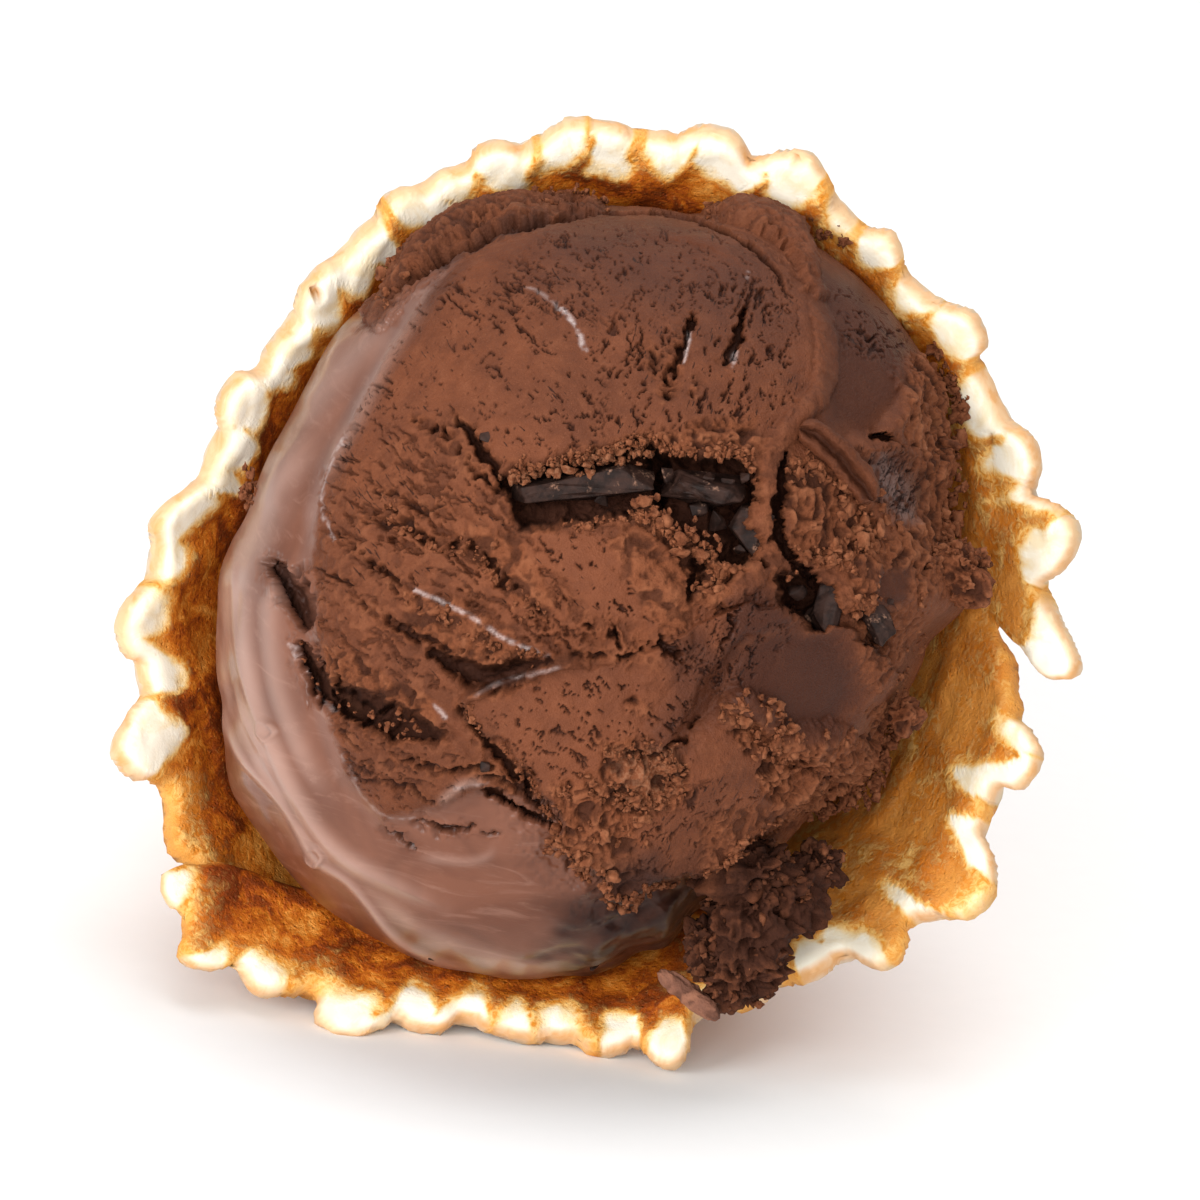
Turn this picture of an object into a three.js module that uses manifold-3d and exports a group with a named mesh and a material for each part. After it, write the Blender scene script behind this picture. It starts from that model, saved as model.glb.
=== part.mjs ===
// A waffle cone with one scoop of chocolate ice cream, lying on its side with its mouth to -Y.
// Millimetres, +Z up. The scoop has dark chocolate chunks in its cracks.
// The cone is made as a real one is: a flat sheet with a waffle grid, trimmed and then rolled.
// Cone space is (u, v, w): w runs along the axis and out of the mouth, and is 0 at the mouth.
import * as THREE from "three";
import { mergeVertices } from "three/addons/utils/BufferGeometryUtils.js";
import Module from "manifold-3d";

const wasm = await Module();
wasm.setup();

const radians = THREE.MathUtils.degToRad;

// The cone's wall, as its inner face: straight from the tip, then flaring in an arc
const wallAngle = radians(12.7);
const flareStart = 122;
const flareRadius = 52;
const mouthSlant = 153.7;
const tipSlant = 30;
const coneColour = 0xc98a45;

// The rim's radius if it were round
const roundRadius = 42.5;

// The sheet: its turns, its thickness and its grid
const sheetStart = 213;
const sheetEnd = 603;
const lapAngle = 34;
const flatRatio = 0.25;
const layerPitch = 3.4;
const gridPitch = 10.5;
const gridTurn = radians(27);
const ribWidth = 3;
const ribTop = 2.2;
const floorTop = 1.5;
const innerRib = -0.3;
const innerDip = 0.15;
const tipThinning = 0.5;
const lipThickening = 0.45;

// The sizes of the rim and of the scoop are those seen by an eye this far in front of the mouth
const eyeDistance = 720;

// The rim's radius between its knobs, by angle along the sheet
const rimRadii = [
  [213, 47.6],
  [222, 48.1],
  [232, 46.3],
  [245, 43.1],
  [258, 41.4],
  [275, 41.9],
  [286, 40.3],
  [300, 40.0],
  [308, 42.1],
  [320, 43.3],
  [332, 42.1],
  [346, 41.0],
  [360, 41.8],
  [405, 41.6],
  [420, 42.6],
  [435, 43.3],
  [450, 42.9],
  [465, 41.8],
  [480, 40.3],
  [495, 38.3],
  [510, 37.7],
  [523, 38.3],
  [535, 41.4],
  [550, 43.1],
  [565, 44.2],
  [571, 46.4],
  [579, 45.2],
  [590, 42.4],
  [603, 41],
];

// The knobs of batter that ran out at the rim: angle, reach past the rim, half width in degrees
const knobs = [
  [215.5, 2.2, 3.2],
  [222.3, 3.6, 4.2],
  [229.3, 2.4, 4],
  [240, 3.6, 5],
  [248, 1.2, 4],
  [259, 0.9, 5],
  [271.5, 1.2, 4],
  [279.3, 3.4, 3.8],
  [291, 0.9, 4],
  [300, 1.2, 3.4],
  [309, 2.3, 4],
  [321.7, 3.4, 6],
  [339, 2.9, 5],
  [367, 3.5, 5.4],
  [378, 1.6, 4.4],
  [395.7, 2.3, 4.6],
  [410, 1.3, 3.6],
  [424, 2.6, 5.6],
  [435, 1.5, 5],
  [451, 1.2, 6],
  [463, 1.1, 4],
  [477, 1.3, 3.6],
  [492.5, 1.1, 4.4],
  [511.5, 1.6, 5],
  [529, 1.3, 4.6],
  [543.5, 2.1, 5],
  [558.5, 3.4, 5.4],
  [590, 1.5, 5],
];

// The torn rim: a slit, and a finger of sheet that hangs over it, as angle and radius
const slitFrom = 346;
const slitTo = 360.5;
const tornRim = [
  [351, 39.8],
  [352.3, 39.3],
  [355.5, 38.2],
  [353.7, 40.0],
  [352, 41.2],
  [349.5, 42.8],
  [349.4, 44.3],
  [350.2, 45.3],
  [352, 45.5],
  [354.6, 44.3],
  [357.7, 43.2],
];

// The scoop: its outline's radius by angle, and its height over the mouth
const scoopRadii = [
  [0, 34.6],
  [12, 33.4],
  [22, 35.0],
  [35, 37.6],
  [50, 38.0],
  [65, 38.2],
  [78, 36.2],
  [90, 35.9],
  [100, 36.9],
  [115, 36.4],
  [130, 34.0],
  [150, 32.6],
  [165, 32.9],
  [180, 34.9],
  [195, 35.7],
  [210, 38.2],
  [225, 38.4],
  [240, 37.9],
  [255, 36.6],
  [268, 35.5],
  [280, 32.4],
  [292, 28.8],
  [315, 28.2],
  [335, 29.6],
  [350, 31.0],
];
const scoopMiddle = -4;
const scoopRise = 29;
const scoopDepth = 31;
const scoopSpokes = 44;
const frontRings = 15;
const undersideRings = 6;
const wallGap = 0.7;
const creamColour = 0x6f4434;

// Forms on the scoop's face. Their outlines and paths are as the eye sees them, in (u, v)
const flap = {
  outline: [
    [-12.2, -9.6],
    [-6.9, -17.3],
    [-4.4, -22],
    [-2.5, -25.4],
    [1.4, -28.4],
    [5.1, -27.5],
    [9.7, -26.5],
    [13.4, -24.9],
    [19, -21.2],
    [23.6, -19.1],
    [26.6, -15.4],
    [28.9, -9.9],
    [26.6, -5],
    [18.4, -1.8],
    [13.2, -1],
    [8.8, -3.4],
    [4.2, -5.4],
    [-2.3, -6.4],
    [-8.8, -8],
  ],
  height: 1.2,
  lowerHeight: 1.6,
  flatness: 0.93,
  ragged: 0.7,
};
const scrapedMass = {
  outline: [
    [-16.6, 28.5],
    [-20.8, 20.6],
    [-24.5, 13.2],
    [-25.4, 3],
    [-24.5, -9.9],
    [-22.7, -18.2],
    [-18, -23.8],
    [-6, -26],
    [14, -28],
    [36, -20],
    [42, 10],
    [36, 36],
    [0, 44],
  ],
  height: 2.4,
};
const lowFacet = {
  outline: [
    [18.6, 33.6],
    [26.6, 28.5],
    [33, 22],
    [34.4, 13.8],
    [26.4, 12],
    [20.6, 15.6],
    [19, 20],
    [19, 27],
  ],
  height: -2.4,
};
const cracks = [
  { path: [[-10.8, 13.2], [-8.3, 9], [-3, 8.6], [4.2, 10.3], [9.7, 9.6], [13.9, 7.8], [15.4, 4.2]], width: 1.9, depth: 4.4 },
  { path: [[17.8, 2.2], [21, -2.8]], width: 2.2, depth: 7.5 },
  { path: [[-30, 2.6], [-26.4, -3]], width: 1.4, depth: 2.6 },
  { path: [[-27.6, -4.3], [-23.4, -8.6], [-18, -11.7], [-12.6, -13.8]], width: 1.7, depth: 2.6 },
  { path: [[-13.6, -4.2], [-8.8, -5.8], [-4, -6.6]], width: 0.9, depth: 2 },
  { path: [[-10, -18], [-6.4, -19.6], [-3.6, -21.4]], width: 0.9, depth: 2 },
];
const ridges = [
  { path: [[19.4, 14.8], [22.4, 12.2], [26, 8.4]], width: 1.9, depth: 2.1, lift: 0.6 },
  { path: [[10.4, 36.4], [15.4, 33.6], [19.2, 30.2], [19.9, 25.6]], width: 1.3, depth: 1.7, lift: 2 },
  { path: [[-18.4, 28.2], [-13.4, 32.2], [-8, 34.6], [-3, 36]], width: 1.3, depth: 1.7, lift: 3 },
];

// Lumps stuck to the scoop: place, half sizes
const lumps = [
  { at: [32.6, 2.4, 3], half: [2.7, 2.6, 2.4], detail: 2 },
  { at: [28.2, -11.2, 6], half: [1.9, 1.8, 1.9], detail: 1 },
  { at: [13.9, -27.6, 6.6], half: [5.6, 6.6, 6.2], detail: 4 },
  { at: [11.4, -33.4, 8.2], half: [4.6, 4.4, 4.4], detail: 3 },
  { at: [20.6, -24.6, 3.4], half: [2.8, 2.4, 3], detail: 2 },
];
const lumpRoughness = 0.09;

// Dark chocolate chunks: place, how deep they lie, half sizes, turn about the cone's axis
const chunks = [
  { at: [-1.2, 9.8], sink: 3.6, half: [6.2, 1.4, 2.7], turn: 7 },
  { at: [9.9, 9.3], sink: 3.4, half: [3.6, 1.6, 2.6], turn: -6 },
  { at: [13.8, 6], sink: 3.2, half: [1.7, 2.0, 2.4], turn: -30 },
  { at: [21.2, -1], sink: 4.2, half: [1.4, 2.9, 2.6], turn: -18 },
  { at: [25.6, -2.6], sink: 1.4, half: [1.2, 2.2, 2.6], turn: 24 },
];
const pocketGap = 0.4;
const chunkColour = 0x2a1a17;

// How the cone lies: the tilt of its axis, its turn about it, and the shift onto the ground
const restTilt = 16.1;
const restTurn = 7.9;
const restShift = [-0.5, -56.1, 41.8];

// The cone's inner face at a slant distance from the tip: radius, place along the axis, lean
function wallAt(slant) {
  if (slant < flareStart) {
    return {
      radius: slant * Math.sin(wallAngle),
      along: slant * Math.cos(wallAngle),
      lean: wallAngle,
    };
  }
  const lean = wallAngle + (slant - flareStart) / flareRadius;
  return {
    radius:
      flareStart * Math.sin(wallAngle) +
      flareRadius * (Math.cos(wallAngle) - Math.cos(lean)),
    along:
      flareStart * Math.cos(wallAngle) +
      flareRadius * (Math.sin(lean) - Math.sin(wallAngle)),
    lean,
  };
}
const mouthAlong = wallAt(mouthSlant).along;

// A value between stations of [place, value], eased from one to the next
function between(stations, place) {
  let next = stations.findIndex((station) => station[0] > place);
  if (next < 0) return stations[stations.length - 1][1];
  if (next === 0) return stations[0][1];
  const [from, low] = stations[next - 1];
  const [to, high] = stations[next];
  const share = (place - from) / (to - from);
  return low + (high - low) * share * share * (3 - 2 * share);
}

function eased(share) {
  const held = THREE.MathUtils.clamp(share, 0, 1);
  return held * held * (3 - 2 * held);
}

// How far the cone is out of round: as its rim at the mouth, fading to none at the tip.
// Where the sheet laps over itself, the outer layer follows the inner one.
function outOfRound(angle, slant) {
  const blend = 15;
  const onLap = eased((angle - sheetStart - 360) / blend + 1);
  const own = between(rimRadii, angle);
  const under = between(rimRadii, Math.max(sheetStart, angle - 360));
  const share = THREE.MathUtils.lerp(own, under, onLap) / roundRadius - 1;
  return 1 + share * Math.min(1, slant / mouthSlant) ** 2;
}

// The sheet thins and its layers draw together towards the tip
function thinningAt(slant) {
  const full = 70;
  const share = THREE.MathUtils.clamp((slant - tipSlant) / (full - tipSlant), 0, 1);
  return tipThinning + (1 - tipThinning) * share;
}

// The radius of the sheet's inner face at an angle along the sheet
function sheetRadius(angle, slant) {
  const turns = (angle - sheetStart) / 360;
  return (
    wallAt(slant).radius * outOfRound(angle, slant) +
    layerPitch * turns * thinningAt(slant)
  );
}

// A flat sheet's point (slant, angle, height over its inner face) rolled into cone space
function rolled(slant, angle, height) {
  const wall = wallAt(slant);
  const radius =
    sheetRadius(angle, slant) + height * thinningAt(slant) * Math.cos(wall.lean);
  const turn = radians(angle);
  return [
    radius * Math.cos(turn),
    radius * Math.sin(turn),
    wall.along - mouthAlong - height * Math.sin(wall.lean),
  ];
}

// The slant at which the sheet's outer face is seen at a given radius
function slantSeenAt(angle, seenRadius) {
  let low = 100;
  let high = 190;
  for (let step = 0; step < 30; step += 1) {
    const slant = (low + high) / 2;
    const [u, v, w] = rolled(slant, angle, ribTop);
    const seen = Math.hypot(u, v) / (1 - w / eyeDistance);
    if (seen < seenRadius) low = slant;
    else high = slant;
  }
  return low;
}

function knobReach(angle) {
  let reach = 0;
  for (const [at, height, halfWidth] of knobs) {
    const share = Math.abs(angle - at) / halfWidth;
    if (share < 1) reach = Math.max(reach, height * (1 - share * share) ** 0.7);
  }
  return reach;
}

function rimSlant(angle) {
  return slantSeenAt(angle, between(rimRadii, angle) + knobReach(angle));
}

// The sheet's two ends: the inner one comes in over the wall, the outer one is nearly straight
function innerEnd(slant, cornerSlant) {
  const bend = 14;
  const below = Math.max(0, cornerSlant - slant);
  return sheetStart + 18 * Math.min(1, below / bend) ** 2.2 + 0.06 * Math.max(0, below - bend);
}

function outerEnd(slant) {
  return sheetEnd + 12 * (1 - slant / mouthSlant);
}

// From slant and angle to the flat sheet's own x and y
const sheetMiddle = (sheetStart + sheetEnd) / 2;
function flatPoint(slant, angle) {
  const turn = radians(angle - sheetMiddle) * flatRatio;
  return [slant * Math.cos(turn), -slant * Math.sin(turn)];
}

// The flat sheet's outline, with its knobs, its slit and its two ends
function sheetOutline() {
  const rimStep = 2;
  const edgeStep = 9;
  const cornerStep = 2;
  const points = [];
  const corner = rimSlant(sheetStart);
  let slant = tipSlant;
  while (slant < corner) {
    points.push(flatPoint(slant, innerEnd(slant, corner)));
    slant += corner - slant > 24 ? edgeStep : cornerStep;
  }
  let torn = false;
  for (let angle = sheetStart; angle <= sheetEnd; angle += rimStep) {
    if (angle < slitFrom || angle > slitTo) {
      points.push(flatPoint(rimSlant(angle), angle));
    } else if (!torn) {
      torn = true;
      for (const [at, radius] of tornRim) {
        points.push(flatPoint(slantSeenAt(at, radius), at));
      }
    }
  }
  for (slant = rimSlant(sheetEnd) - edgeStep; slant > tipSlant; slant -= edgeStep) {
    points.push(flatPoint(slant, outerEnd(slant)));
  }
  const arcFrom = outerEnd(tipSlant);
  const arcTo = innerEnd(tipSlant, corner);
  const arcSteps = 16;
  for (let step = 0; step < arcSteps; step += 1) {
    const angle = arcFrom + ((arcTo - arcFrom) * step) / arcSteps;
    points.push(flatPoint(tipSlant, angle));
  }
  return points;
}

// A closed mesh as a solid
function solidFrom(geometry) {
  const bare = geometry.index ? geometry.toNonIndexed() : geometry.clone();
  const clean = new THREE.BufferGeometry();
  clean.setAttribute("position", bare.getAttribute("position"));
  const merged = mergeVertices(clean, 1e-4);
  return new wasm.Manifold(
    new wasm.Mesh({
      numProp: 3,
      vertProperties: merged.attributes.position.array,
      triVerts: new Uint32Array(merged.index.array),
    }),
  );
}

// The same solid with every corner moved by a function of its place
function moved(solid, place) {
  const mesh = solid.getMesh();
  const points = [];
  for (let i = 0; i < mesh.numVert; i += 1) {
    const at = mesh.vertProperties.subarray(i * mesh.numProp, i * mesh.numProp + 3);
    points.push(place(at[0], at[1], at[2]));
  }
  return new wasm.Manifold(
    new wasm.Mesh({
      numProp: 3,
      vertProperties: new Float32Array(points.flat()),
      triVerts: mesh.triVerts,
    }),
  );
}

function geometryOf(solid) {
  const mesh = solid.getMesh();
  const places = new Float32Array(mesh.numVert * 3);
  for (let i = 0; i < mesh.numVert; i += 1) {
    places.set(mesh.vertProperties.subarray(i * mesh.numProp, i * mesh.numProp + 3), i * 3);
  }
  const geometry = new THREE.BufferGeometry();
  geometry.setAttribute("position", new THREE.BufferAttribute(places, 3));
  geometry.setIndex(new THREE.BufferAttribute(mesh.triVerts, 1));
  geometry.computeVertexNormals();
  return geometry;
}

// A block over a grid of lines, flat at z = base and with hills on its other side
function hillBlock(lines, heightAt, base, hillsUp) {
  const cells = lines.length - 1;
  const geometry = new THREE.BoxGeometry(cells, cells, 2, cells, cells, 1);
  geometry.translate(cells / 2, cells / 2, 0);
  return moved(solidFrom(geometry), (x, y, z) => {
    const i = Math.round(x);
    const j = Math.round(y);
    const onHills = z > 0 === hillsUp;
    return [lines[i], lines[j], onHills ? heightAt(i, j) : base];
  });
}

// The waffle sheet before it is trimmed: ribs on its outer face, shallow ribs on its inner face
function waffleBlock() {
  const reach = 19;
  const meet = 0.2;
  const middle = (floorTop + innerDip) / 2;
  const outerLines = [];
  const innerLines = [];
  for (let k = -reach; k <= reach; k += 1) {
    outerLines.push(k * gridPitch - ribWidth / 2, k * gridPitch, k * gridPitch + ribWidth / 2);
    innerLines.push(k * gridPitch, (k + 0.5) * gridPitch);
  }
  const isRib = (i) => i % 3 === 1;
  const isInnerRib = (i) => i % 2 === 0;
  const outer = hillBlock(
    outerLines,
    (i, j) => (isRib(i) || isRib(j) ? ribTop : floorTop),
    middle - meet,
    true,
  );
  const inner = hillBlock(
    innerLines,
    (i, j) => (isInnerRib(i) || isInnerRib(j) ? innerRib : innerDip),
    middle + meet,
    false,
  );
  const cosine = Math.cos(gridTurn);
  const sine = Math.sin(gridTurn);
  return moved(outer.add(inner), (x, y, z) => [x * cosine - y * sine, x * sine + y * cosine, z]);
}

// A prism on an outline, from below the sheet to above it
function prism(outline) {
  const low = -2;
  const high = 5;
  const shape = new THREE.Shape(outline.map(([x, y]) => new THREE.Vector2(x, y)));
  const geometry = new THREE.ExtrudeGeometry(shape, { depth: high - low, bevelEnabled: false });
  geometry.translate(0, 0, low);
  return solidFrom(geometry);
}

// The closed tip, where the sheet's layers are pressed into one
function tipPlug() {
  const plugTop = 36;
  const roundness = 1.6;
  const plugWall = 1.9;
  const sides = 28;
  const profile = [new THREE.Vector2(0, -roundness)];
  profile.push(new THREE.Vector2(roundness * 0.8, -roundness * 0.7));
  for (const slant of [2, 12, 24, plugTop]) {
    const wall = wallAt(slant);
    profile.push(new THREE.Vector2(wall.radius + plugWall, wall.along));
  }
  profile.push(new THREE.Vector2(wallAt(plugTop).radius - 0.5, wallAt(plugTop).along));
  profile.push(new THREE.Vector2(0, wallAt(plugTop - 8).along));
  const geometry = new THREE.LatheGeometry(profile, sides);
  geometry.rotateX(Math.PI / 2);
  geometry.translate(0, 0, -mouthAlong);
  return solidFrom(geometry);
}

function rolledSheet() {
  const trimmed = waffleBlock().intersect(prism(sheetOutline()));
  return moved(trimmed, (x, y, z) => {
    const slant = Math.hypot(x, y);
    const angle = sheetMiddle - THREE.MathUtils.radToDeg(Math.atan2(y, x)) / flatRatio;
    const lipBand = 6;
    const past = THREE.MathUtils.clamp(1 - (rimSlant(angle) - slant) / lipBand, 0, 1);
    const single = angle > sheetStart + lapAngle && angle < sheetEnd - lapAngle;
    const thick = single ? 1 + lipThickening * past * past : 1;
    return rolled(slant, angle, z * thick);
  });
}

// The scoop's face

function distanceToPath(u, v, path) {
  let nearest = Infinity;
  for (let i = 0; i + 1 < path.length; i += 1) {
    const [au, av] = path[i];
    const [bu, bv] = path[i + 1];
    const du = bu - au;
    const dv = bv - av;
    const share = THREE.MathUtils.clamp(
      ((u - au) * du + (v - av) * dv) / (du * du + dv * dv),
      0,
      1,
    );
    nearest = Math.min(nearest, Math.hypot(u - au - share * du, v - av - share * dv));
  }
  return nearest;
}

// Over 0 inside a closed outline, in mm from its edge
function depthInside(u, v, outline) {
  let inside = false;
  for (let i = 0, j = outline.length - 1; i < outline.length; j = i, i += 1) {
    const [au, av] = outline[i];
    const [bu, bv] = outline[j];
    if (av > v !== bv > v && u < ((bu - au) * (v - av)) / (bv - av) + au) inside = !inside;
  }
  const edge = distanceToPath(u, v, [...outline, outline[0]]);
  return inside ? edge : -edge;
}

// A flat form on the face: its height, easing down at its edge
function raisedBy(form, u, v) {
  return form.height * eased((depthInside(u, v, form.outline) + 1) / 2);
}

function scoopOutline(angle) {
  const ring = scoopRadii.concat([[360, scoopRadii[0][1]]]);
  return between(ring, ((angle % 360) + 360) % 360);
}

// The largest radius that clears the cone's wall at a height in the cone
function roomAt(angle, w) {
  const along = w + mouthAlong;
  let low = 20;
  let high = 185;
  for (let step = 0; step < 24; step += 1) {
    const slant = (low + high) / 2;
    if (wallAt(slant).along < along) low = slant;
    else high = slant;
  }
  const onSheet = sheetStart + ((((angle - sheetStart) % 360) + 360) % 360);
  return sheetRadius(onSheet, low) - wallGap;
}

// From a place as the eye sees it to the true one
function unseen(u, v, w) {
  const scale = 1 - w / eyeDistance;
  return [u * scale, v * scale, w];
}

// How far out a seen place is: 0 at the middle of the face, 1 at the scoop's outline
function reachAt(u, v) {
  return Math.hypot(u, v) / scoopOutline(THREE.MathUtils.radToDeg(Math.atan2(v, u)));
}

function domeHeight(reach) {
  return scoopMiddle + scoopRise * Math.sqrt(Math.max(0, 1 - reach * reach));
}

// The height of the scoop's face over a seen place, without its flap, cracks, curls and lumps
function faceHeight(u, v) {
  const reach = reachAt(u, v);
  const fade = eased((1 - reach) * 8);
  return domeHeight(reach) + fade * (raisedBy(scrapedMass, u, v) + raisedBy(lowFacet, u, v));
}

// The flap's top: flatter than the dome, so that its lower edge stands clear of it
function flapHeight(u, v) {
  const upper = -6;
  const lower = -24;
  const share = eased((v - upper) / (lower - upper));
  const raise = flap.height + (flap.lowerHeight - flap.height) * share;
  return domeHeight(flap.flatness * reachAt(u, v)) + scrapedMass.height + raise;
}

// A point of the scoop's face, or of the flap's top: share is 0 in the middle, 1 at the outline
function facePoint(share, angle, onFlap) {
  const turn = radians(angle);
  const seen = scoopOutline(angle) * Math.sin((share * Math.PI) / 2);
  const u = seen * Math.cos(turn);
  const v = seen * Math.sin(turn);
  const place = unseen(u, v, onFlap ? flapHeight(u, v) : faceHeight(u, v));
  const room = roomAt(angle, place[2]) / Math.hypot(place[0], place[1]);
  if (room < 1) return [place[0] * room, place[1] * room, place[2]];
  return place;
}

function undersidePoint(share, angle) {
  const turn = radians(angle);
  const w = scoopMiddle - scoopDepth * Math.sin((share * Math.PI) / 2);
  const full = scoopOutline(angle) * Math.cos((share * Math.PI) / 2) ** 0.8;
  const radius = Math.min(full, roomAt(angle, w));
  return [radius * Math.cos(turn), radius * Math.sin(turn), w];
}

// The scoop's dome and underside, or the same with the flap's top as its face
function scoopBody(onFlap) {
  const rings = frontRings + undersideRings;
  const geometry = new THREE.SphereGeometry(1, scoopSpokes, rings);
  geometry.rotateX(Math.PI / 2);
  return moved(solidFrom(geometry), (x, y, z) => {
    const angle = THREE.MathUtils.radToDeg(Math.atan2(y, x));
    const ring = (Math.acos(THREE.MathUtils.clamp(z, -1, 1)) / Math.PI) * rings;
    if (ring <= frontRings) return facePoint(ring / frontRings, angle, onFlap);
    return undersidePoint((ring - frontRings) / undersideRings, angle);
  });
}

// The flap: what lies under the raised face and inside the flap's ragged outline
function flapSolid() {
  const stepLength = 1.6;
  const shape = new THREE.Shape();
  flap.outline.forEach(([u, v], index) => {
    const [nextU, nextV] = flap.outline[(index + 1) % flap.outline.length];
    const length = Math.hypot(nextU - u, nextV - v);
    const steps = Math.max(1, Math.round(length / stepLength));
    for (let step = 0; step < steps; step += 1) {
      const share = step / steps;
      const out = flap.ragged * Math.sin(2.3 * index + 3.1 * step) * Math.cos(1.1 * step);
      const x = u + (nextU - u) * share + (out * (nextV - v)) / length;
      const y = v + (nextV - v) * share - (out * (nextU - u)) / length;
      if (index === 0 && step === 0) shape.moveTo(x, y);
      else shape.lineTo(x, y);
    }
  });
  const height = 40;
  const low = 1;
  const column = new THREE.ExtrudeGeometry(shape, { depth: height, bevelEnabled: false });
  column.translate(0, 0, low);
  return scoopBody(true).intersect(moved(solidFrom(column), unseen));
}

// A bar with pointed ends that follows a path over the face, for cracks and curls
function barAlong({ path, width, depth, lift = 0 }) {
  const sides = 6;
  const steps = 4 * (path.length - 1);
  const curve = new THREE.CatmullRomCurve3(path.map(([u, v]) => new THREE.Vector3(u, v, 0)));
  const geometry = new THREE.CylinderGeometry(1, 1, 1, sides, steps);
  return moved(solidFrom(geometry), (x, y, z) => {
    const share = THREE.MathUtils.clamp(y + 0.5, 0, 1);
    const at = curve.getPointAt(share);
    const along = curve.getTangentAt(share);
    const taper = 0.25 + 0.75 * Math.sin(Math.PI * share) ** 0.5;
    const rough = 1 + 0.12 * Math.sin(share * steps * 2.1);
    const u = at.x + along.y * x * width * taper * rough;
    const v = at.y - along.x * x * width * taper * rough;
    const w = faceHeight(at.x, at.y) + lift + z * depth * taper;
    return unseen(u, v, w);
  });
}

// A rough round lump
function lump({ at, half, detail }) {
  const geometry = new THREE.IcosahedronGeometry(1, detail);
  return moved(solidFrom(geometry), (x, y, z) => {
    const rough =
      1 + lumpRoughness * (Math.sin(7 * x + at[0]) + Math.sin(6 * y) + Math.cos(8 * z + at[1]));
    return [at[0] + x * half[0] * rough, at[1] + y * half[1] * rough, at[2] + z * half[2] * rough];
  });
}

// A broken piece of chocolate, made larger by a margin for its pocket
function chunkSolid({ at, sink, half, turn }, margin) {
  const angle = radians(turn);
  const middle = faceHeight(at[0], at[1]) - sink;
  return moved(solidFrom(new THREE.DodecahedronGeometry(1)), (x, y, z) => {
    const chipped = 1 + 0.13 * Math.sin(5 * x + at[0]) * Math.cos(4 * y + at[1]);
    const square = (value) => Math.sign(value) * Math.abs(value) ** 0.7;
    const u = square(x) * chipped * (half[0] + margin);
    const v = square(y) * chipped * (half[1] + margin);
    const w = square(z) * chipped * (half[2] + margin);
    return [
      at[0] + u * Math.cos(angle) - v * Math.sin(angle),
      at[1] + u * Math.sin(angle) + v * Math.cos(angle),
      middle + w,
    ];
  });
}

// From cone space to the resting place
function restMatrix() {
  const lay = new THREE.Matrix4().makeRotationX(radians(90 - restTilt));
  const turn = new THREE.Matrix4().makeRotationZ(radians(restTurn));
  const shift = new THREE.Matrix4().makeTranslation(...restShift);
  return shift.multiply(lay).multiply(turn);
}

// The ground under the cone, in cone space, for the small flats that the cone rests on
function groundBlock(matrix) {
  const size = 600;
  const geometry = new THREE.BoxGeometry(size, size, size);
  geometry.translate(0, 0, -size / 2);
  geometry.applyMatrix4(matrix.clone().invert());
  return solidFrom(geometry);
}

function addPart(group, name, solid, colour, roughness) {
  const material = new THREE.MeshStandardMaterial({ color: colour, roughness, metalness: 0 });
  const mesh = new THREE.Mesh(geometryOf(solid), material);
  mesh.name = name;
  group.add(mesh);
}

const matrix = restMatrix();
const cone = rolledSheet().add(tipPlug()).subtract(groundBlock(matrix));
let scoop = scoopBody(false).add(flapSolid());
for (const one of ridges) scoop = scoop.add(barAlong(one));
for (const one of lumps) scoop = scoop.add(lump(one));
for (const one of cracks) scoop = scoop.subtract(barAlong(one));
for (const one of chunks) scoop = scoop.subtract(chunkSolid(one, pocketGap));

const laid = new THREE.Group();
laid.applyMatrix4(matrix);
addPart(laid, "waffle_cone", cone, coneColour, 0.6);
addPart(laid, "ice_cream_scoop", scoop, creamColour, 0.5);
chunks.forEach((one, index) => {
  addPart(laid, `chocolate_chunk_${index + 1}`, chunkSolid(one, 0), chunkColour, 0.35);
});

const group = new THREE.Group();
group.add(laid);
export default group;
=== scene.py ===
import math

import bmesh
import bpy
import numpy as np
from mathutils import Matrix, Vector


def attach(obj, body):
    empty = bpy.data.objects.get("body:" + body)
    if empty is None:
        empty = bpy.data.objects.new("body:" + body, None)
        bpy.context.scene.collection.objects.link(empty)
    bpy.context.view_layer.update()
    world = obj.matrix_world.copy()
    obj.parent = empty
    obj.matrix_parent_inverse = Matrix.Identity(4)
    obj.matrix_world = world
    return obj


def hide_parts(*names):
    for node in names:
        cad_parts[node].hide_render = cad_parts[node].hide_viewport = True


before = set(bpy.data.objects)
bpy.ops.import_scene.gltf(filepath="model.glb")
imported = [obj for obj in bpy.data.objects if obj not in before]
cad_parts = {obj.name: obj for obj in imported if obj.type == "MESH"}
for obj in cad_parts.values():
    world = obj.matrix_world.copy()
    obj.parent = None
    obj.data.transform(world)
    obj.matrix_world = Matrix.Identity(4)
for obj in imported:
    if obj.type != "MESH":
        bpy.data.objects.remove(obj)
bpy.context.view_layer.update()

# How the cone lies, and how the photograph's pixels lie over its mouth
rest = {"tilt": 16.1, "turn": 7.9, "shift": (-0.5, -56.1, 41.8)}
view = {"middleX": 595, "middleY": 593, "mmPerPixel": 0.0925, "eyeDistance": 720, "imageSize": 1200}

layFlat = Matrix.Rotation(math.radians(90 - rest["tilt"]), 3, "X")
turnRound = Matrix.Rotation(math.radians(rest["turn"]), 3, "Z")
coneAxes = np.array(layFlat @ turnRound)


# Points as rows of x, y and z, any of which may be a single number
def asPoints(x, y, z=0.0):
    return np.stack(np.broadcast_arrays(x, y, z), axis=-1)


def angleOf(x, y):
    return np.degrees(np.arctan2(y, x))


def toWorld(points):
    return (points @ coneAxes.T + np.array(rest["shift"])) / 1000


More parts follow.
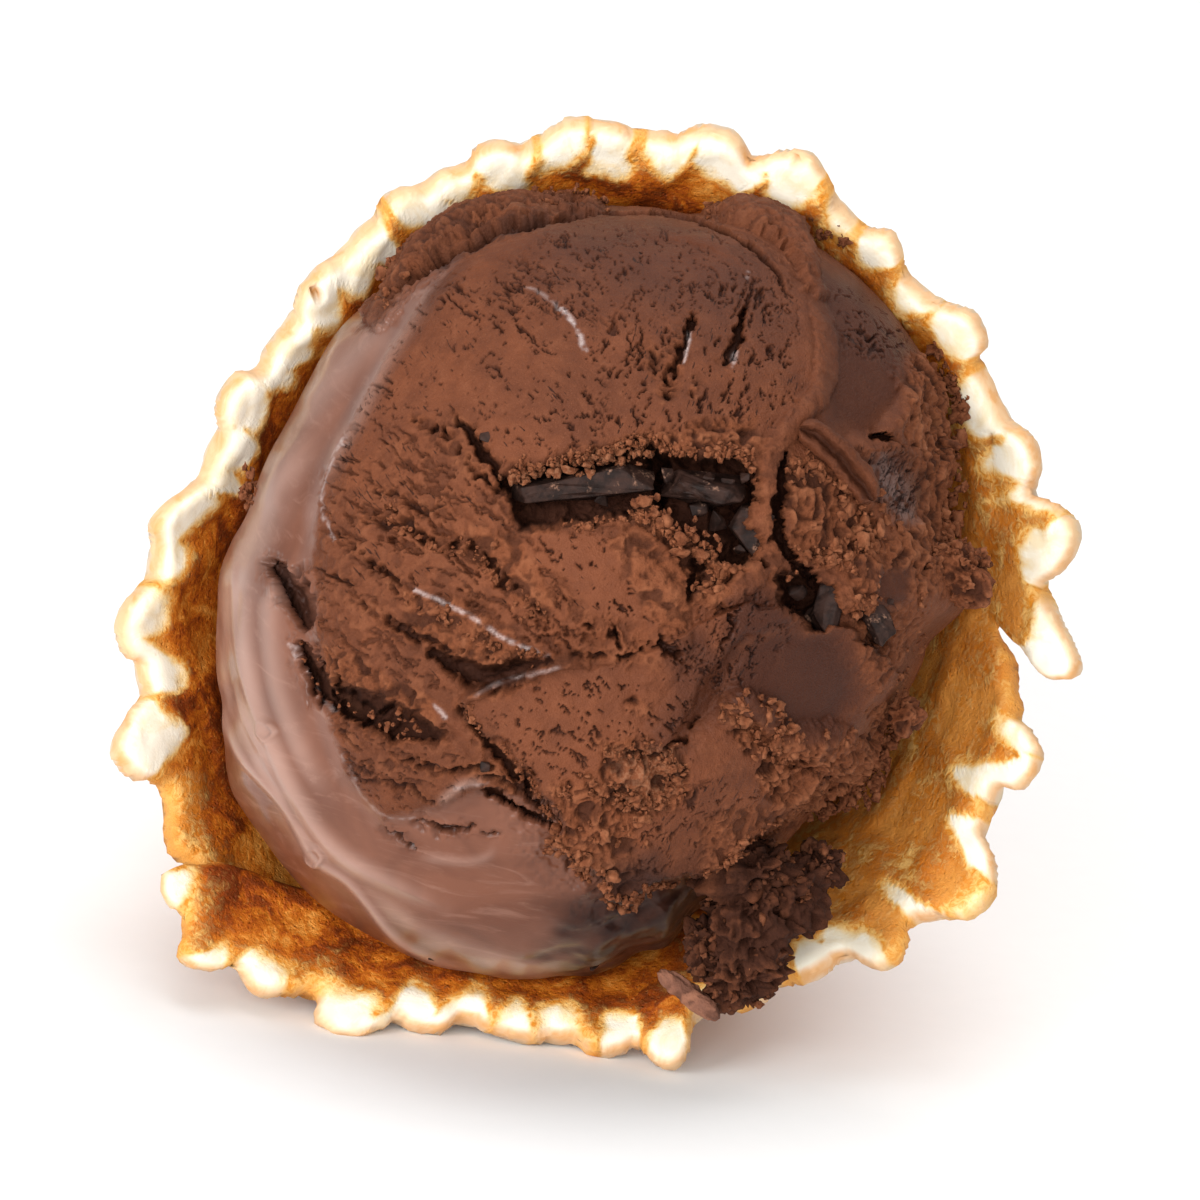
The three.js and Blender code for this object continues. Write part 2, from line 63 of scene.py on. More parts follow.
def fromPhoto(pixels):
    places = np.array(pixels, float)
    x = (places[..., 0] - view["middleX"]) * view["mmPerPixel"]
    y = (view["middleY"] - places[..., 1]) * view["mmPerPixel"]
    return np.stack([x, y], axis=-1)


def eased(share):
    held = np.clip(share, 0, 1)
    return held * held * (3 - 2 * held)


def blendTo(a, b, share):
    return a + (b - a) * share


# Stations of (place, value), eased from one to the next
def between(stations, place):
    table = np.array(stations, float)
    spot = np.clip(np.searchsorted(table[:, 0], place, side="right"), 1, len(table) - 1)
    start, end = table[spot - 1], table[spot]
    share = eased((place - start[..., 0]) / (end[..., 0] - start[..., 0]))
    return blendTo(start[..., 1], end[..., 1], share)


def smoothPath(path, steps=6):
    ends = np.array([path[0], *path, path[-1]], float)
    result = []
    for a, b, c, d in zip(ends, ends[1:], ends[2:], ends[3:]):
        for step in range(steps):
            t = step / steps
            result.append(
                b
                + 0.5 * t * (c - a)
                + t * t * (a - 2.5 * b + 2 * c - 0.5 * d)
                + t**3 * (1.5 * b - 1.5 * c + 0.5 * d - 0.5 * a)
            )
    result.append(ends[-1])
    return np.array(result)


# How far each place is from a path, and how far along the path that is, from 0 to 1
def pathDistance(x, y, path):
    nearest = np.full(x.shape, 1e9)
    along = np.zeros(x.shape)
    lengths = np.linalg.norm(np.diff(path, axis=0), axis=1)
    total = max(lengths.sum(), 1e-9)
    before = 0
    for (ax, ay), (bx, by), length in zip(path, path[1:], lengths):
        dx, dy = bx - ax, by - ay
        share = np.clip(((x - ax) * dx + (y - ay) * dy) / max(length * length, 1e-12), 0, 1)
        away = np.hypot(x - ax - share * dx, y - ay - share * dy)
        closer = away < nearest
        nearest[closer] = away[closer]
        along[closer] = (before + share[closer] * length) / total
        before += length
    return nearest, along


# Over 0 inside a closed outline, by the distance to it
def depthInside(x, y, outline):
    closed = np.array([*outline, outline[0]], float)
    inside = np.zeros(x.shape, bool)
    for (ax, ay), (bx, by) in zip(closed, closed[1:]):
        if ay != by:
            crosses = (ay > y) != (by > y)
            inside ^= crosses & (x < (bx - ax) * (y - ay) / (by - ay) + ax)
    edge, _ = pathDistance(x, y, closed)
    return np.where(inside, edge, -edge)


# Large primes that turn a cell's three steps into one number
cellPrimes = (73856093, 19349663, 83492791)
noiseValues = 4096


# Smooth noise from -1 to 1 with bumps about one size across
def noise(points, size, seed):
    table = np.random.default_rng(seed).random(noiseValues) * 2 - 1
    places = points / size
    base = np.floor(places).astype(np.int64)
    part = places - base
    part = part * part * (3 - 2 * part)
    result = np.zeros(len(points))
    for corner in range(8):
        step = np.array([corner & 1, corner >> 1 & 1, corner >> 2])
        cell = base + step
        key = cell[:, 0] * cellPrimes[0] ^ cell[:, 1] * cellPrimes[1] ^ cell[:, 2] * cellPrimes[2]
        weight = np.prod(np.where(step == 1, part, 1 - part), axis=1)
        result += table[key & noiseValues - 1] * weight
    return result


def layeredNoise(points, size, seed, layers=3):
    result = np.zeros(len(points))
    for layer in range(layers):
        result += noise(points, size / 2**layer, seed + layer) / 2**layer
    return result


# Torn ground: its stones by share of the size and height, and its pits by share of the size, where
# they open and how deep they are
rubbleStones = [(1, 0.55), (0.46, 0.36), (0.22, 0.24)]
rubblePits = [(0.6, 0.1, 0.7), (0.28, 0.16, 0.35)]


# Torn, crumbly ground: how far it stands out, from about -1 to 1, and where its pits are
def rubble(points, size, seed):
    warp = np.stack([noise(points + 31 * axis, size * 1.2, seed + axis) for axis in range(3)], axis=-1)
    moved = points + warp * size * 0.4
    out = sum(
        height * noise(moved, size * share, seed + 3 + layer)
        for layer, (share, height) in enumerate(rubbleStones)
    )
    opened = []
    for layer, (share, threshold, depth) in enumerate(rubblePits):
        opened.append(eased((noise(moved, size * share, seed + 6 + layer) - threshold) / 0.3))
        out = out - depth * opened[-1]
    return out, np.maximum(opened[0], 0.6 * opened[1])


# Pits torn open in rows, from 0 to 1: noise drawn out along the rows, open where it is high
def tornPits(x, y, slope, length, width, threshold, seed):
    cosine, sine = math.cos(math.radians(slope)), math.sin(math.radians(slope))
    flat = asPoints(x, y)
    x = x + 0.3 * noise(flat, 0.6, seed + 5) + 0.16 * noise(flat, 0.3, seed + 7)
    y = y + 0.3 * noise(flat, 0.6, seed + 6) + 0.16 * noise(flat, 0.3, seed + 8)
    along, across = x * cosine + y * sine, y * cosine - x * sine
    across = across + 0.5 * noise(flat, 2.2, seed + 3)
    drawn = asPoints(along / length, across / width)
    value = noise(drawn, 1, seed) + 0.6 * noise(drawn * 2.3, 1, seed + 1)
    value = value + 0.3 * noise(drawn * 4.6, 1, seed + 2)
    crowded = 0.3 * noise(flat, 4.0, seed + 4)
    return eased((value + crowded - threshold) / 0.13)


# One mesh put together from pieces, with the finishes, painted light and shade among them, that its
# material reads at each point
class Build:
    def __init__(self, finishes):
        self.points, self.corners, self.sizes = [], [], []
        self.finishes = {name: [] for name in finishes}
        self.count = 0

    def add(self, points, faces, **finish):
        self.points.append(points)
        self.corners.append((np.asarray(faces) + self.count).ravel())
        self.sizes.append(np.full(len(faces), np.shape(faces)[1]))
        for name, parts in self.finishes.items():
            parts.append(np.broadcast_to(np.asarray(finish.get(name, 0), float), len(points)))
        self.count += len(points)

    def finish(self, name, material):
        points = toWorld(np.vstack(self.points))
        points[:, 2] = np.maximum(points[:, 2], 0)
        corners = np.concatenate(self.corners).astype(np.int32)
        sizes = np.concatenate(self.sizes)
        mesh = bpy.data.meshes.new(name)
        mesh.vertices.add(len(points))
        mesh.vertices.foreach_set("co", points.ravel())
        mesh.loops.add(len(corners))
        mesh.loops.foreach_set("vertex_index", corners)
        mesh.polygons.add(len(sizes))
        mesh.polygons.foreach_set("loop_start", (np.cumsum(sizes) - sizes).astype(np.int32))
        mesh.polygons.foreach_set("use_smooth", np.ones(len(sizes), bool))
        mesh.update(calc_edges=True)
        mesh.validate()
        for key, parts in self.finishes.items():
            layer = mesh.attributes.new(key, "FLOAT", "POINT")
            layer.data.foreach_set("value", np.concatenate(parts).astype(np.float32))
        piece = bpy.data.objects.new(name, mesh)
        bpy.context.scene.collection.objects.link(piece)
        mesh.materials.append(material)
        print(name, len(points), "points,", len(sizes), "faces")
        return piece


# Faces of a grid of rows and columns of points, left out where keep is false
def gridFaces(rows, columns, keep=None):
    index = np.arange(rows * columns).reshape(rows, columns)
    faces = np.stack([index[:-1, :-1], index[:-1, 1:], index[1:, 1:], index[1:, :-1]], axis=-1)
    faces = faces.reshape(-1, 4)
    return faces if keep is None else faces[keep.ravel()]


# Faces of a tube of rings of points, round a closed loop of sides
def tubeFaces(rings, sides):
    start = np.arange(sides)
    following = np.roll(start, -1)
    row = [
        ring * sides + np.stack([following, following + sides, start + sides, start], axis=-1)
        for ring in range(rings - 1)
    ]
    return np.vstack(row)


# A material's socket: sums and products of sockets add Math nodes, and node() adds any other
class Wire:
    def __init__(self, tree, socket=None):
        self.tree, self.socket = tree, socket

    def node(self, kind, settings=None, sockets=None, out=0):
        made = self.tree.nodes.new(kind)
        for key, value in (settings or {}).items():
            if key == "stops":
                ramp = made.color_ramp
                while len(ramp.elements) < len(value):
                    ramp.elements.new(0.5)
                for element, (place, colour) in zip(ramp.elements, value):
                    element.position = place
                    element.color = (*colour, 1)
            else:
                setattr(made, key, value)
        for key, value in (sockets or {}).items():
            if isinstance(value, Wire):
                self.tree.links.new(value.socket, made.inputs[key])
            else:
                made.inputs[key].default_value = value
        return Wire(self.tree, made.outputs[out])

    def maths(self, operation, first, second=0.0, clamp=False):
        settings = {"operation": operation, "use_clamp": clamp}
        return self.node("ShaderNodeMath", settings, {0: first, 1: second})

    def __add__(self, other):
        return self.maths("ADD", self, other)

    __radd__ = __add__

    def __sub__(self, other):
        return self.maths("SUBTRACT", self, other)

    def __rsub__(self, other):
        return self.maths("SUBTRACT", other, self)

    def __mul__(self, other):
        return self.maths("MULTIPLY", self, other)

    __rmul__ = __mul__

    def held(self):
        return self.maths("ADD", self, 0.0, clamp=True)

    def above(self, low, high):
        sockets = {"Value": self, "From Min": low, "From Max": high}
        return self.node("ShaderNodeMapRange", {"interpolation_type": "SMOOTHSTEP"}, sockets)

    def attribute(self, name):
        return self.node("ShaderNodeAttribute", {"attribute_name": name}, out="Fac")

    def mix(self, first, second, share):
        sockets = {0: share, 6: asColour(first), 7: asColour(second)}
        return self.node("ShaderNodeMix", {"data_type": "RGBA"}, sockets, out=2)

    def place(self):
        return self.node("ShaderNodeTexCoord", out="Object")

    def noise(self, size, detail=3.0, rough=0.5, stretch=(1, 1, 1), warp=0.0):
        scale = tuple(1000 / size / part for part in stretch)
        moved = self.node("ShaderNodeMapping", None, {"Vector": self.place(), "Scale": scale})
        sockets = {"Vector": moved, "Scale": 1.0, "Detail": detail}
        sockets.update({"Roughness": rough, "Distortion": warp})
        return self.node("ShaderNodeTexNoise", None, sockets)

    # Noise drawn out along a slope in the plane of the mouth
    def drawn(self, slope, length, width):
        sockets = {
            "Vector": self.place(),
            "Rotation": (0, math.radians(-slope), 0),
            "Scale": (length / 1000, length / 1000, width / 1000),
        }
        turned = self.node("ShaderNodeMapping", {"vector_type": "TEXTURE"}, sockets)
        sockets = {"Vector": turned, "Scale": 1.0, "Detail": 2.6, "Roughness": 0.62}
        return self.node("ShaderNodeTexNoise", None, sockets)

    def grains(self, size):
        sockets = {"Vector": self.place(), "Scale": 1000 / size}
        return self.node("ShaderNodeTexVoronoi", None, sockets)

    def bump(self, height, distance, strength):
        sockets = {"Height": height, "Distance": distance, "Strength": strength}
        return self.node("ShaderNodeBump", None, sockets)


def asColour(value):
    return value if isinstance(value, Wire) else (*value, 1)


def newMaterial(name, constants):
    material = bpy.data.materials.new(name)
    material.use_nodes = True
    tree = material.node_tree
    surface = tree.nodes["Principled BSDF"]
    for key, value in constants.items():
        surface.inputs[key].default_value = value
    return material, Wire(tree), surface


def feed(surface, sockets):
    for key, value in sockets.items():
        value.tree.links.new(value.socket, surface.inputs[key])


# The waffle sheet: rolled as in the CAD, with the same wall, rim and turns
wall = {
    "angle": math.radians(12.7),
    "flareStart": 122,
    "flareRadius": 52,
    "mouthSlant": 153.7,
    "roundRadius": 42.5,
}
sheet = {
    "start": 213,
    "end": 603,
    "lap": 34,
    "flatRatio": 0.25,
    "layerPitch": 3.4,
    "gridPitch": 10.5,
    "gridTurn": math.radians(27),
    "ribWidth": 3.4,
    "ribTop": 2.2,
    "floorTop": 1.5,
    "innerRib": -0.3,
    "innerDip": 0.15,
    "tipThinning": 0.5,
    "thinUpTo": 30,
    "thinFading": 40,
    "innerSweep": 18,
    "sweepLength": 14,
    "outerSweep": 12,
    "lipThickening": 0.45,
    "palePerPixel": 0.086,
    "innerRounding": 2.3,
    "lipMeeting": 0.42,
    "holeDepth": 1.1,
    "bottom": 7,
    "fineFrom": 132,
}
rimRadii = [
    (213, 47.6), (222, 48.1), (232, 46.3), (245, 43.1), (258, 41.4), (275, 41.9), (286, 40.3),
    (300, 40.0), (308, 42.1), (320, 43.3), (332, 42.1), (346, 41.0), (360, 41.8), (405, 41.6),
    (420, 42.6), (435, 43.3), (450, 42.9), (465, 41.8), (480, 40.3), (495, 38.3), (510, 37.7),
    (523, 38.3), (535, 41.4), (550, 43.1), (565, 44.2), (571, 46.4), (579, 45.2), (590, 42.4),
    (603, 41),
]
# The knobs of batter at the rim: angle, reach past the rim in mm, half width in degrees
knobs = [
    (215.5, 2.2, 3.2), (222.3, 3.6, 4.2), (229.3, 2.4, 4), (240, 3.6, 5), (248, 1.2, 4),
    (259, 0.9, 5), (271.5, 1.2, 4), (279.3, 3.4, 3.8), (291, 0.9, 4), (300, 1.2, 3.4),
    (309, 2.3, 4), (321.7, 3.4, 6), (339, 2.9, 5), (367, 3.5, 5.4), (378, 1.6, 4.4),
    (395.7, 2.3, 4.6), (410, 1.3, 3.6), (424, 2.6, 5.6), (435, 1.5, 5), (451, 1.2, 6),
    (463, 1.1, 4), (477, 1.3, 3.6), (492.5, 1.1, 4.4), (511.5, 1.6, 5), (529, 1.3, 4.6),
    (543.5, 2.1, 5), (558.5, 3.4, 5.4), (590, 1.5, 5),
]
slit = {"start": 346, "end": 360.5}
tornRim = [
    (351, 39.8), (352.3, 39.3), (355.5, 38.2), (353.7, 40.0), (352, 41.2), (349.5, 42.8),
    (349.4, 44.3), (350.2, 45.3), (352, 45.5), (354.6, 44.3), (357.7, 43.2),
]
# Where the batter stayed pale: angle, half width in degrees, how far it comes in, in pixels
palePatches = [
    (215.5, 2.5, 26), (223.3, 2.4, 38), (229, 3.6, 30), (239, 4.6, 42), (246.5, 4, 38),
    (253, 4, 34), (259.3, 3.4, 28), (265, 4, 20), (272, 3.4, 26), (279, 3.4, 48), (286, 3, 20),
    (293, 3, 18), (301, 3, 32), (306.5, 3.6, 48), (315.2, 2.2, 44), (326.4, 2.4, 44),
    (321, 4.6, 14), (335.5, 4, 60), (342, 2.6, 46), (351, 2.6, 20), (365.5, 4.4, 58),
    (373, 4, 22), (378.5, 3.6, 52), (386, 5, 40), (396, 4.4, 46), (403, 3.2, 20),
    (409.4, 3, 44), (417, 4, 20), (424.5, 4.2, 64), (433, 5.6, 52), (440.5, 3.2, 40),
    (448, 4, 54), (454, 3, 22), (461.5, 4.2, 58), (468, 4, 30), (474, 4, 50), (482, 4.2, 50),
    (487.5, 4, 56), (494, 4.6, 62), (500.5, 4, 44), (506.5, 5, 34), (512, 4.2, 52), (518, 4, 38),
    (523, 3.2, 46), (529.5, 5, 56), (536, 4, 36), (543.5, 4.6, 56), (550.5, 4, 50), (558.5, 5, 72),
]
# Small blisters that burst through the rim: place in the photograph, radius in mm
rimHoles = [
    ((320, 297), 0.55), ((795, 164), 0.6), ((787, 158), 0.4), ((315, 321), 0.18), ((989, 440), 0.35),
]


def wallAt(slant):
    flared = wall["angle"] + np.maximum(slant - wall["flareStart"], 0) / wall["flareRadius"]
    straight = np.minimum(slant, wall["flareStart"])
    radius = straight * math.sin(wall["angle"]) + wall["flareRadius"] * (
        math.cos(wall["angle"]) - np.cos(flared)
    )
    along = straight * math.cos(wall["angle"]) + wall["flareRadius"] * (
        np.sin(flared) - math.sin(wall["angle"])
    )
    return radius, along, flared


mouthAlong = float(wallAt(np.array(wall["mouthSlant"]))[1])


def outOfRound(angle, slant):
    onLap = eased((angle - sheet["start"] - 360) / 15 + 1)
    own = between(rimRadii, angle)
    under = between(rimRadii, np.maximum(sheet["start"], angle - 360))
    share = blendTo(own, under, onLap) / wall["roundRadius"] - 1
    return 1 + share * np.minimum(1, slant / wall["mouthSlant"]) ** 2


def thinningAt(slant):
    grown = np.clip((slant - sheet["thinUpTo"]) / sheet["thinFading"], 0, 1)
    return sheet["tipThinning"] + (1 - sheet["tipThinning"]) * grown


def sheetRadius(angle, slant):
    turns = (angle - sheet["start"]) / 360
    return wallAt(slant)[0] * outOfRound(angle, slant) + sheet["layerPitch"] * turns * thinningAt(slant)


# A place on the flat sheet, by slant, angle and height over its inner face, rolled up
def rolled(slant, angle, height):
    _, along, lean = wallAt(slant)
    nearTip = blendTo(0.62, 1, eased((slant - 14) / 22))
    turns = (angle - sheet["start"]) / 360
    radius = wallAt(slant)[0] * outOfRound(angle, slant) + thinningAt(slant) * nearTip * (
        sheet["layerPitch"] * turns + height * np.cos(lean)
    )
    turn = np.radians(angle)
    w = along - mouthAlong - height * np.sin(lean)
    return asPoints(radius * np.cos(turn), radius * np.sin(turn), w)


def slantSeenAt(angle, seenRadius):
    angle, seenRadius = np.broadcast_arrays(np.asarray(angle, float), np.asarray(seenRadius, float))
    low, high = np.full(angle.shape, 100.0), np.full(angle.shape, 190.0)
    for _ in range(26):
        middle = (low + high) / 2
        place = rolled(middle, angle, sheet["ribTop"])
        seen = np.hypot(place[..., 0], place[..., 1]) / (1 - place[..., 2] / view["eyeDistance"])
        inside = seen < seenRadius
        low, high = np.where(inside, middle, low), np.where(inside, high, middle)
    return low


def knobReach(angle):
    reach = np.zeros(np.shape(angle))
    for at, height, halfWidth in knobs:
        share = np.clip(np.abs(angle - at) / halfWidth, 0, 1)
        reach = np.maximum(reach, height * (1 - share * share) ** 0.7)
    return reach


def rimSlant(angle):
    return slantSeenAt(angle, between(rimRadii, angle) + knobReach(angle))


# The angles at which the sheet starts, inside, and ends, outside: both sweep round below the rim
def innerEnd(slant, corner):
    below = np.maximum(0, corner - slant)
    swept = sheet["innerSweep"] * np.minimum(1, below / sheet["sweepLength"]) ** 2.2
    return sheet["start"] + swept + 0.06 * np.maximum(0, below - sheet["sweepLength"])


def outerEnd(slant):
    return sheet["end"] + sheet["outerSweep"] * (1 - slant / wall["mouthSlant"])


sheetMiddle = (sheet["start"] + sheet["end"]) / 2


def flatPoint(slant, angle):
    turn = np.radians(angle - sheetMiddle) * sheet["flatRatio"]
    return np.stack([slant * np.cos(turn), -slant * np.sin(turn)], axis=-1)


def sheetOutline():
    corner = float(rimSlant(sheet["start"]))
    inner = np.linspace(2, corner, 60)
    rimAngles = np.arange(sheet["start"], sheet["end"] + 0.1, 1.0)
    beforeSlit = rimAngles[rimAngles < slit["start"]]
    afterSlit = rimAngles[rimAngles > slit["end"]]
    torn = smoothPath(tornRim, 3)
    outer = np.linspace(float(rimSlant(sheet["end"])), 2, 60)
    return np.vstack(
        [
            flatPoint(inner, innerEnd(inner, corner)),
            flatPoint(rimSlant(beforeSlit), beforeSlit),
            flatPoint(slantSeenAt(torn[:, 0], torn[:, 1]), torn[:, 0]),
            flatPoint(rimSlant(afterSlit), afterSlit),
            flatPoint(outer, outerEnd(outer)),
        ]
    )


# The rows of the grid come close together near the rim
def sheetRows(fine, coarse):
    deep = np.arange(sheet["bottom"], sheet["fineFrom"], coarse)
    top = float(rimSlant(np.arange(sheet["start"], sheet["end"], 0.5)).max()) + 1.5
    return np.concatenate([deep, np.arange(deep[-1] + coarse * 0.6, top, fine)])


def paleDepth(angle):
    depth = np.full(np.shape(angle), -1.2)
    for at, halfWidth, pixels in palePatches:
        share = np.clip(np.abs(angle - at) / (halfWidth * 0.9), 0, 1)
        reach = pixels * sheet["palePerPixel"]
        depth = np.maximum(depth, (reach + 1.2) * (1 - share * share) ** 0.6 - 1.2)
    return depth


# Ridges of the waffle grid on the flat sheet: 1 on a rib and 0 in a cell
def gridRibs(x, y, width):
    cosine, sine = math.cos(sheet["gridTurn"]), math.sin(sheet["gridTurn"])
    first = (x * cosine + y * sine) / sheet["gridPitch"]
    second = (y * cosine - x * sine) / sheet["gridPitch"]
    ribs = np.zeros(x.shape)
    for place in (first, second):
        away = np.abs(place - np.round(place)) * sheet["gridPitch"]
        ribs = np.maximum(ribs, 1 - eased((away - width * 0.2) / (width * 0.55)))
    return ribs


sheetDetail = {"fineRow": 0.45, "coarseRow": 1.0, "columns": 540}
raggedEdge = {"reach": 3, "fromSlant": 100, "fading": 30, "coarse": 0.26, "fine": 0.13}


# How far each place on the flat sheet lies inside its ragged edge
def edgeDepth(x, y, outline):
    flat = asPoints(x, y)
    depth = depthInside(x, y, outline)
    near = np.clip(1 - np.abs(depth) / raggedEdge["reach"], 0, 1)
    farFromTip = eased((np.hypot(x, y) - raggedEdge["fromSlant"]) / raggedEdge["fading"])
    ragged = raggedEdge["coarse"] * noise(flat, 2.1, 3) + raggedEdge["fine"] * noise(flat, 0.8, 4)
    return depth + ragged * near * farFromTip


# Draws the places marked outside onto the sheet's edge, down the slope of the distance to it
def drawToEdge(x, y, outside, outline, step=0.05):
    for _ in range(3):
        ox, oy = x[outside], y[outside]
        here = edgeDepth(ox, oy, outline)
        slopeX = (edgeDepth(ox + step, oy, outline) - here) / step
        slopeY = (edgeDepth(ox, oy + step, outline) - here) / step
        steep = np.maximum(slopeX**2 + slopeY**2, 0.2)
        x[outside] -= here * slopeX / steep
        y[outside] -= here * slopeY / steep


# The blisters on the inner face: 1 in the middle of a hole
def blisterHoles(slant, angle, inner):
    holes = np.zeros(len(slant))
    placed = rolled(slant, angle, inner)
    seen = placed[:, :2] / (1 - placed[:, 2:] / view["eyeDistance"])
    for pixel, radius in rimHoles:
        at = fromPhoto(pixel)
        away = np.hypot(seen[:, 0] - at[0], seen[:, 1] - at[1])
        holes = np.maximum(holes, 1 - eased((away - radius * 0.5) / (radius * 0.6)))
    return holes


# The places of the flat sheet's points, how deep each lies inside its edge, and the faces between them
def sheetGrid(detail):
    slants = sheetRows(detail["fineRow"], detail["coarseRow"])
    rows, columns = len(slants), detail["columns"]
    slant = np.repeat(slants[:, None], columns, axis=1)
    first = innerEnd(slants, float(rimSlant(sheet["start"])))[:, None]
    last = outerEnd(slants)[:, None]
    angle = first + np.linspace(0, 1, columns)[None, :] * (last - first)
    place = flatPoint(slant, angle)
    x, y = place[..., 0].ravel(), place[..., 1].ravel()
    outline = sheetOutline()
    depth = edgeDepth(x, y, outline)
    inside = (depth > 0).reshape(rows, columns)
    keep = inside[:-1, :-1] | inside[1:, :-1] | inside[:-1, 1:] | inside[1:, 1:]
    used = np.zeros((rows, columns), bool)
    for block in (used[:-1, :-1], used[1:, :-1], used[:-1, 1:], used[1:, 1:]):
        block |= keep
    # Points of the kept cells that lie outside are drawn onto the outline
    outside = used.ravel() & (depth <= 0)
    drawToEdge(x, y, outside, outline)
    depth = np.maximum(edgeDepth(x, y, outline), 0)
    depth[outside] = 0
    return x, y, depth, gridFaces(rows, columns, keep)


# Where the batter is pale, by its border in mm and the angle it ends at, and where the sheet is golden
paleEdge = {"coarse": 1.1, "fine": 0.5, "margin": 2.0, "fading": 4.6, "endsAt": 563}
goldenSide = {"turn": 22, "strength": 0.75, "rimWidth": 7, "lipWidth": 6}
# Unevenness of the sheet: sizes, and heights on its outer and inner face, in mm
sheetGrain = {"lumps": 3.4, "fine": 0.9, "outer": (0.12, 0.03), "inner": (0.13, 0.05), "paleShare": 0.6}


# How high the sheet's outer and inner faces stand, and where it is pale, ribbed and amber
def sheetRelief(x, y, slant, angle):
    flat = asPoints(x, y)
    below = rimSlant(angle) - slant
    border = paleEdge["coarse"] * noise(flat, 3.2, 11) + paleEdge["fine"] * noise(flat, 1.3, 12)
    reach = paleDepth(angle + 1.3 * noise(flat, 3.4, 13) + 0.5 * noise(flat, 1.4, 14))
    pale = 1 - eased((below - reach + border + paleEdge["margin"]) / paleEdge["fading"])
    pale *= 1 - eased((angle - paleEdge["endsAt"]) / 5)
    single = eased((angle - sheet["start"] - sheet["lap"] * 0.3) / 8) * (
        1 - eased((angle - sheet["end"] + sheet["lap"]) / 8)
    )
    lip = np.clip(1 - below / goldenSide["lipWidth"], 0, 1) ** 2 * single
    ribs = gridRibs(x, y, sheet["ribWidth"])
    golden = eased(np.cos(np.radians(angle + goldenSide["turn"])) * 1.5 - 0.35) * goldenSide["strength"]
    nearRim = np.clip(1 - below / goldenSide["rimWidth"], 0, 1)
    amber = (np.maximum(nearRim * 0.6, golden * 0.25), np.maximum(nearRim, golden))
    lumpy = layeredNoise(flat, sheetGrain["lumps"], 21)
    fine = layeredNoise(flat, sheetGrain["fine"], 25, 2)
    outerLump, outerFine = sheetGrain["outer"]
    innerLump, innerFine = sheetGrain["inner"]
    thicker = 1 + sheet["lipThickening"] * lip
    outer = sheet["floorTop"] + (sheet["ribTop"] - sheet["floorTop"]) * np.maximum(ribs, lip)
    outer = outer * thicker + outerLump * lumpy + outerFine * fine
    inner = blendTo(sheet["innerDip"], sheet["innerRib"], np.maximum(ribs * 0.9, pale * 0.4))
    uneven = (innerLump * lumpy + innerFine * fine) * (1 - sheetGrain["paleShare"] * pale)
    return outer, inner * thicker + uneven, pale, ribs, amber


def makeCone(material):
    x, y, depth, faces = sheetGrid(sheetDetail)
    count = len(x)
    slant = np.hypot(x, y)
    angle = sheetMiddle - angleOf(x, y) / sheet["flatRatio"]
    outer, inner, pale, ribs, amber = sheetRelief(x, y, slant, angle)
    # The lip is rounded close on the outside and in a wider curve on the inside
    roundness = blendTo(0.6, 0.85, pale)
    edge, softEdge = (
        np.sqrt(np.clip(1 - (1 - np.clip(depth / size, 0, 1)) ** 2, 0, 1))
        for size in (roundness, roundness * sheet["innerRounding"])
    )
    meeting = inner + sheet["lipMeeting"] * (outer - inner)
    holes = blisterHoles(slant, angle, inner)
    upper = rolled(slant, angle, blendTo(meeting, outer, edge))
    lower = rolled(slant, angle, blendTo(meeting, inner, softEdge) + holes * sheet["holeDepth"])
    # The two faces share the points of the edge
    borderIndex = np.arange(count)
    borderIndex[depth > 1e-6] += count
    points = np.vstack([upper, lower])
    allFaces = np.vstack([faces, borderIndex[faces][:, ::-1]])
    # Only the points in use are kept
    usedPoints = np.unique(allFaces)
    renumber = np.zeros(len(points), np.int64)
    renumber[usedPoints] = np.arange(len(usedPoints))
    none = np.zeros(count)
    onBothFaces = {
        "pale": (pale, pale),
        "ribs": (ribs, ribs),
        "rim": (depth, depth),
        "inside": (none, none + 1),
        "amber": amber,
        "blister": (none, holes),
    }
    finish = {key: np.concatenate(values)[usedPoints] for key, values in onBothFaces.items()}
    build = Build(list(finish))
    build.add(points[usedPoints], renumber[allFaces], **finish)
    addTip(build)
    return build.finish("waffleCone", material)


# The pressed tip of the cone, closed and a little twisted
def addTip(build):
    tip = {"top": 16, "nose": 1.6, "rings": 40, "sides": 72, "wall": 1.15}
    profile = []
    for step in range(tip["rings"]):
        share = step / (tip["rings"] - 1)
        slant = tip["top"] * share
        radius, along, _ = wallAt(np.array(slant))
        nose = math.sqrt(max(0, 1 - (1 - min(1, share * 6)) ** 2))
        profile.append(((float(radius) + tip["wall"]) * nose, float(along) - tip["nose"] * (1 - share)))
    turn = np.linspace(0, 2 * math.pi, tip["sides"], endpoint=False)
    points = []
    sides = tip["sides"]
    for step, (radius, along) in enumerate(profile):
        twist = 0.05 * np.sin(2 * turn + step * 0.16) + 0.03 * np.sin(5 * turn - step * 0.3)
        size = radius * (1 + twist)
        points.append(asPoints(size * np.cos(turn), size * np.sin(turn), along))
    points = np.vstack(points) - np.array([0, 0, mouthAlong])
    build.add(points, tubeFaces(tip["rings"], sides), rim=3.0, ribs=0.4)


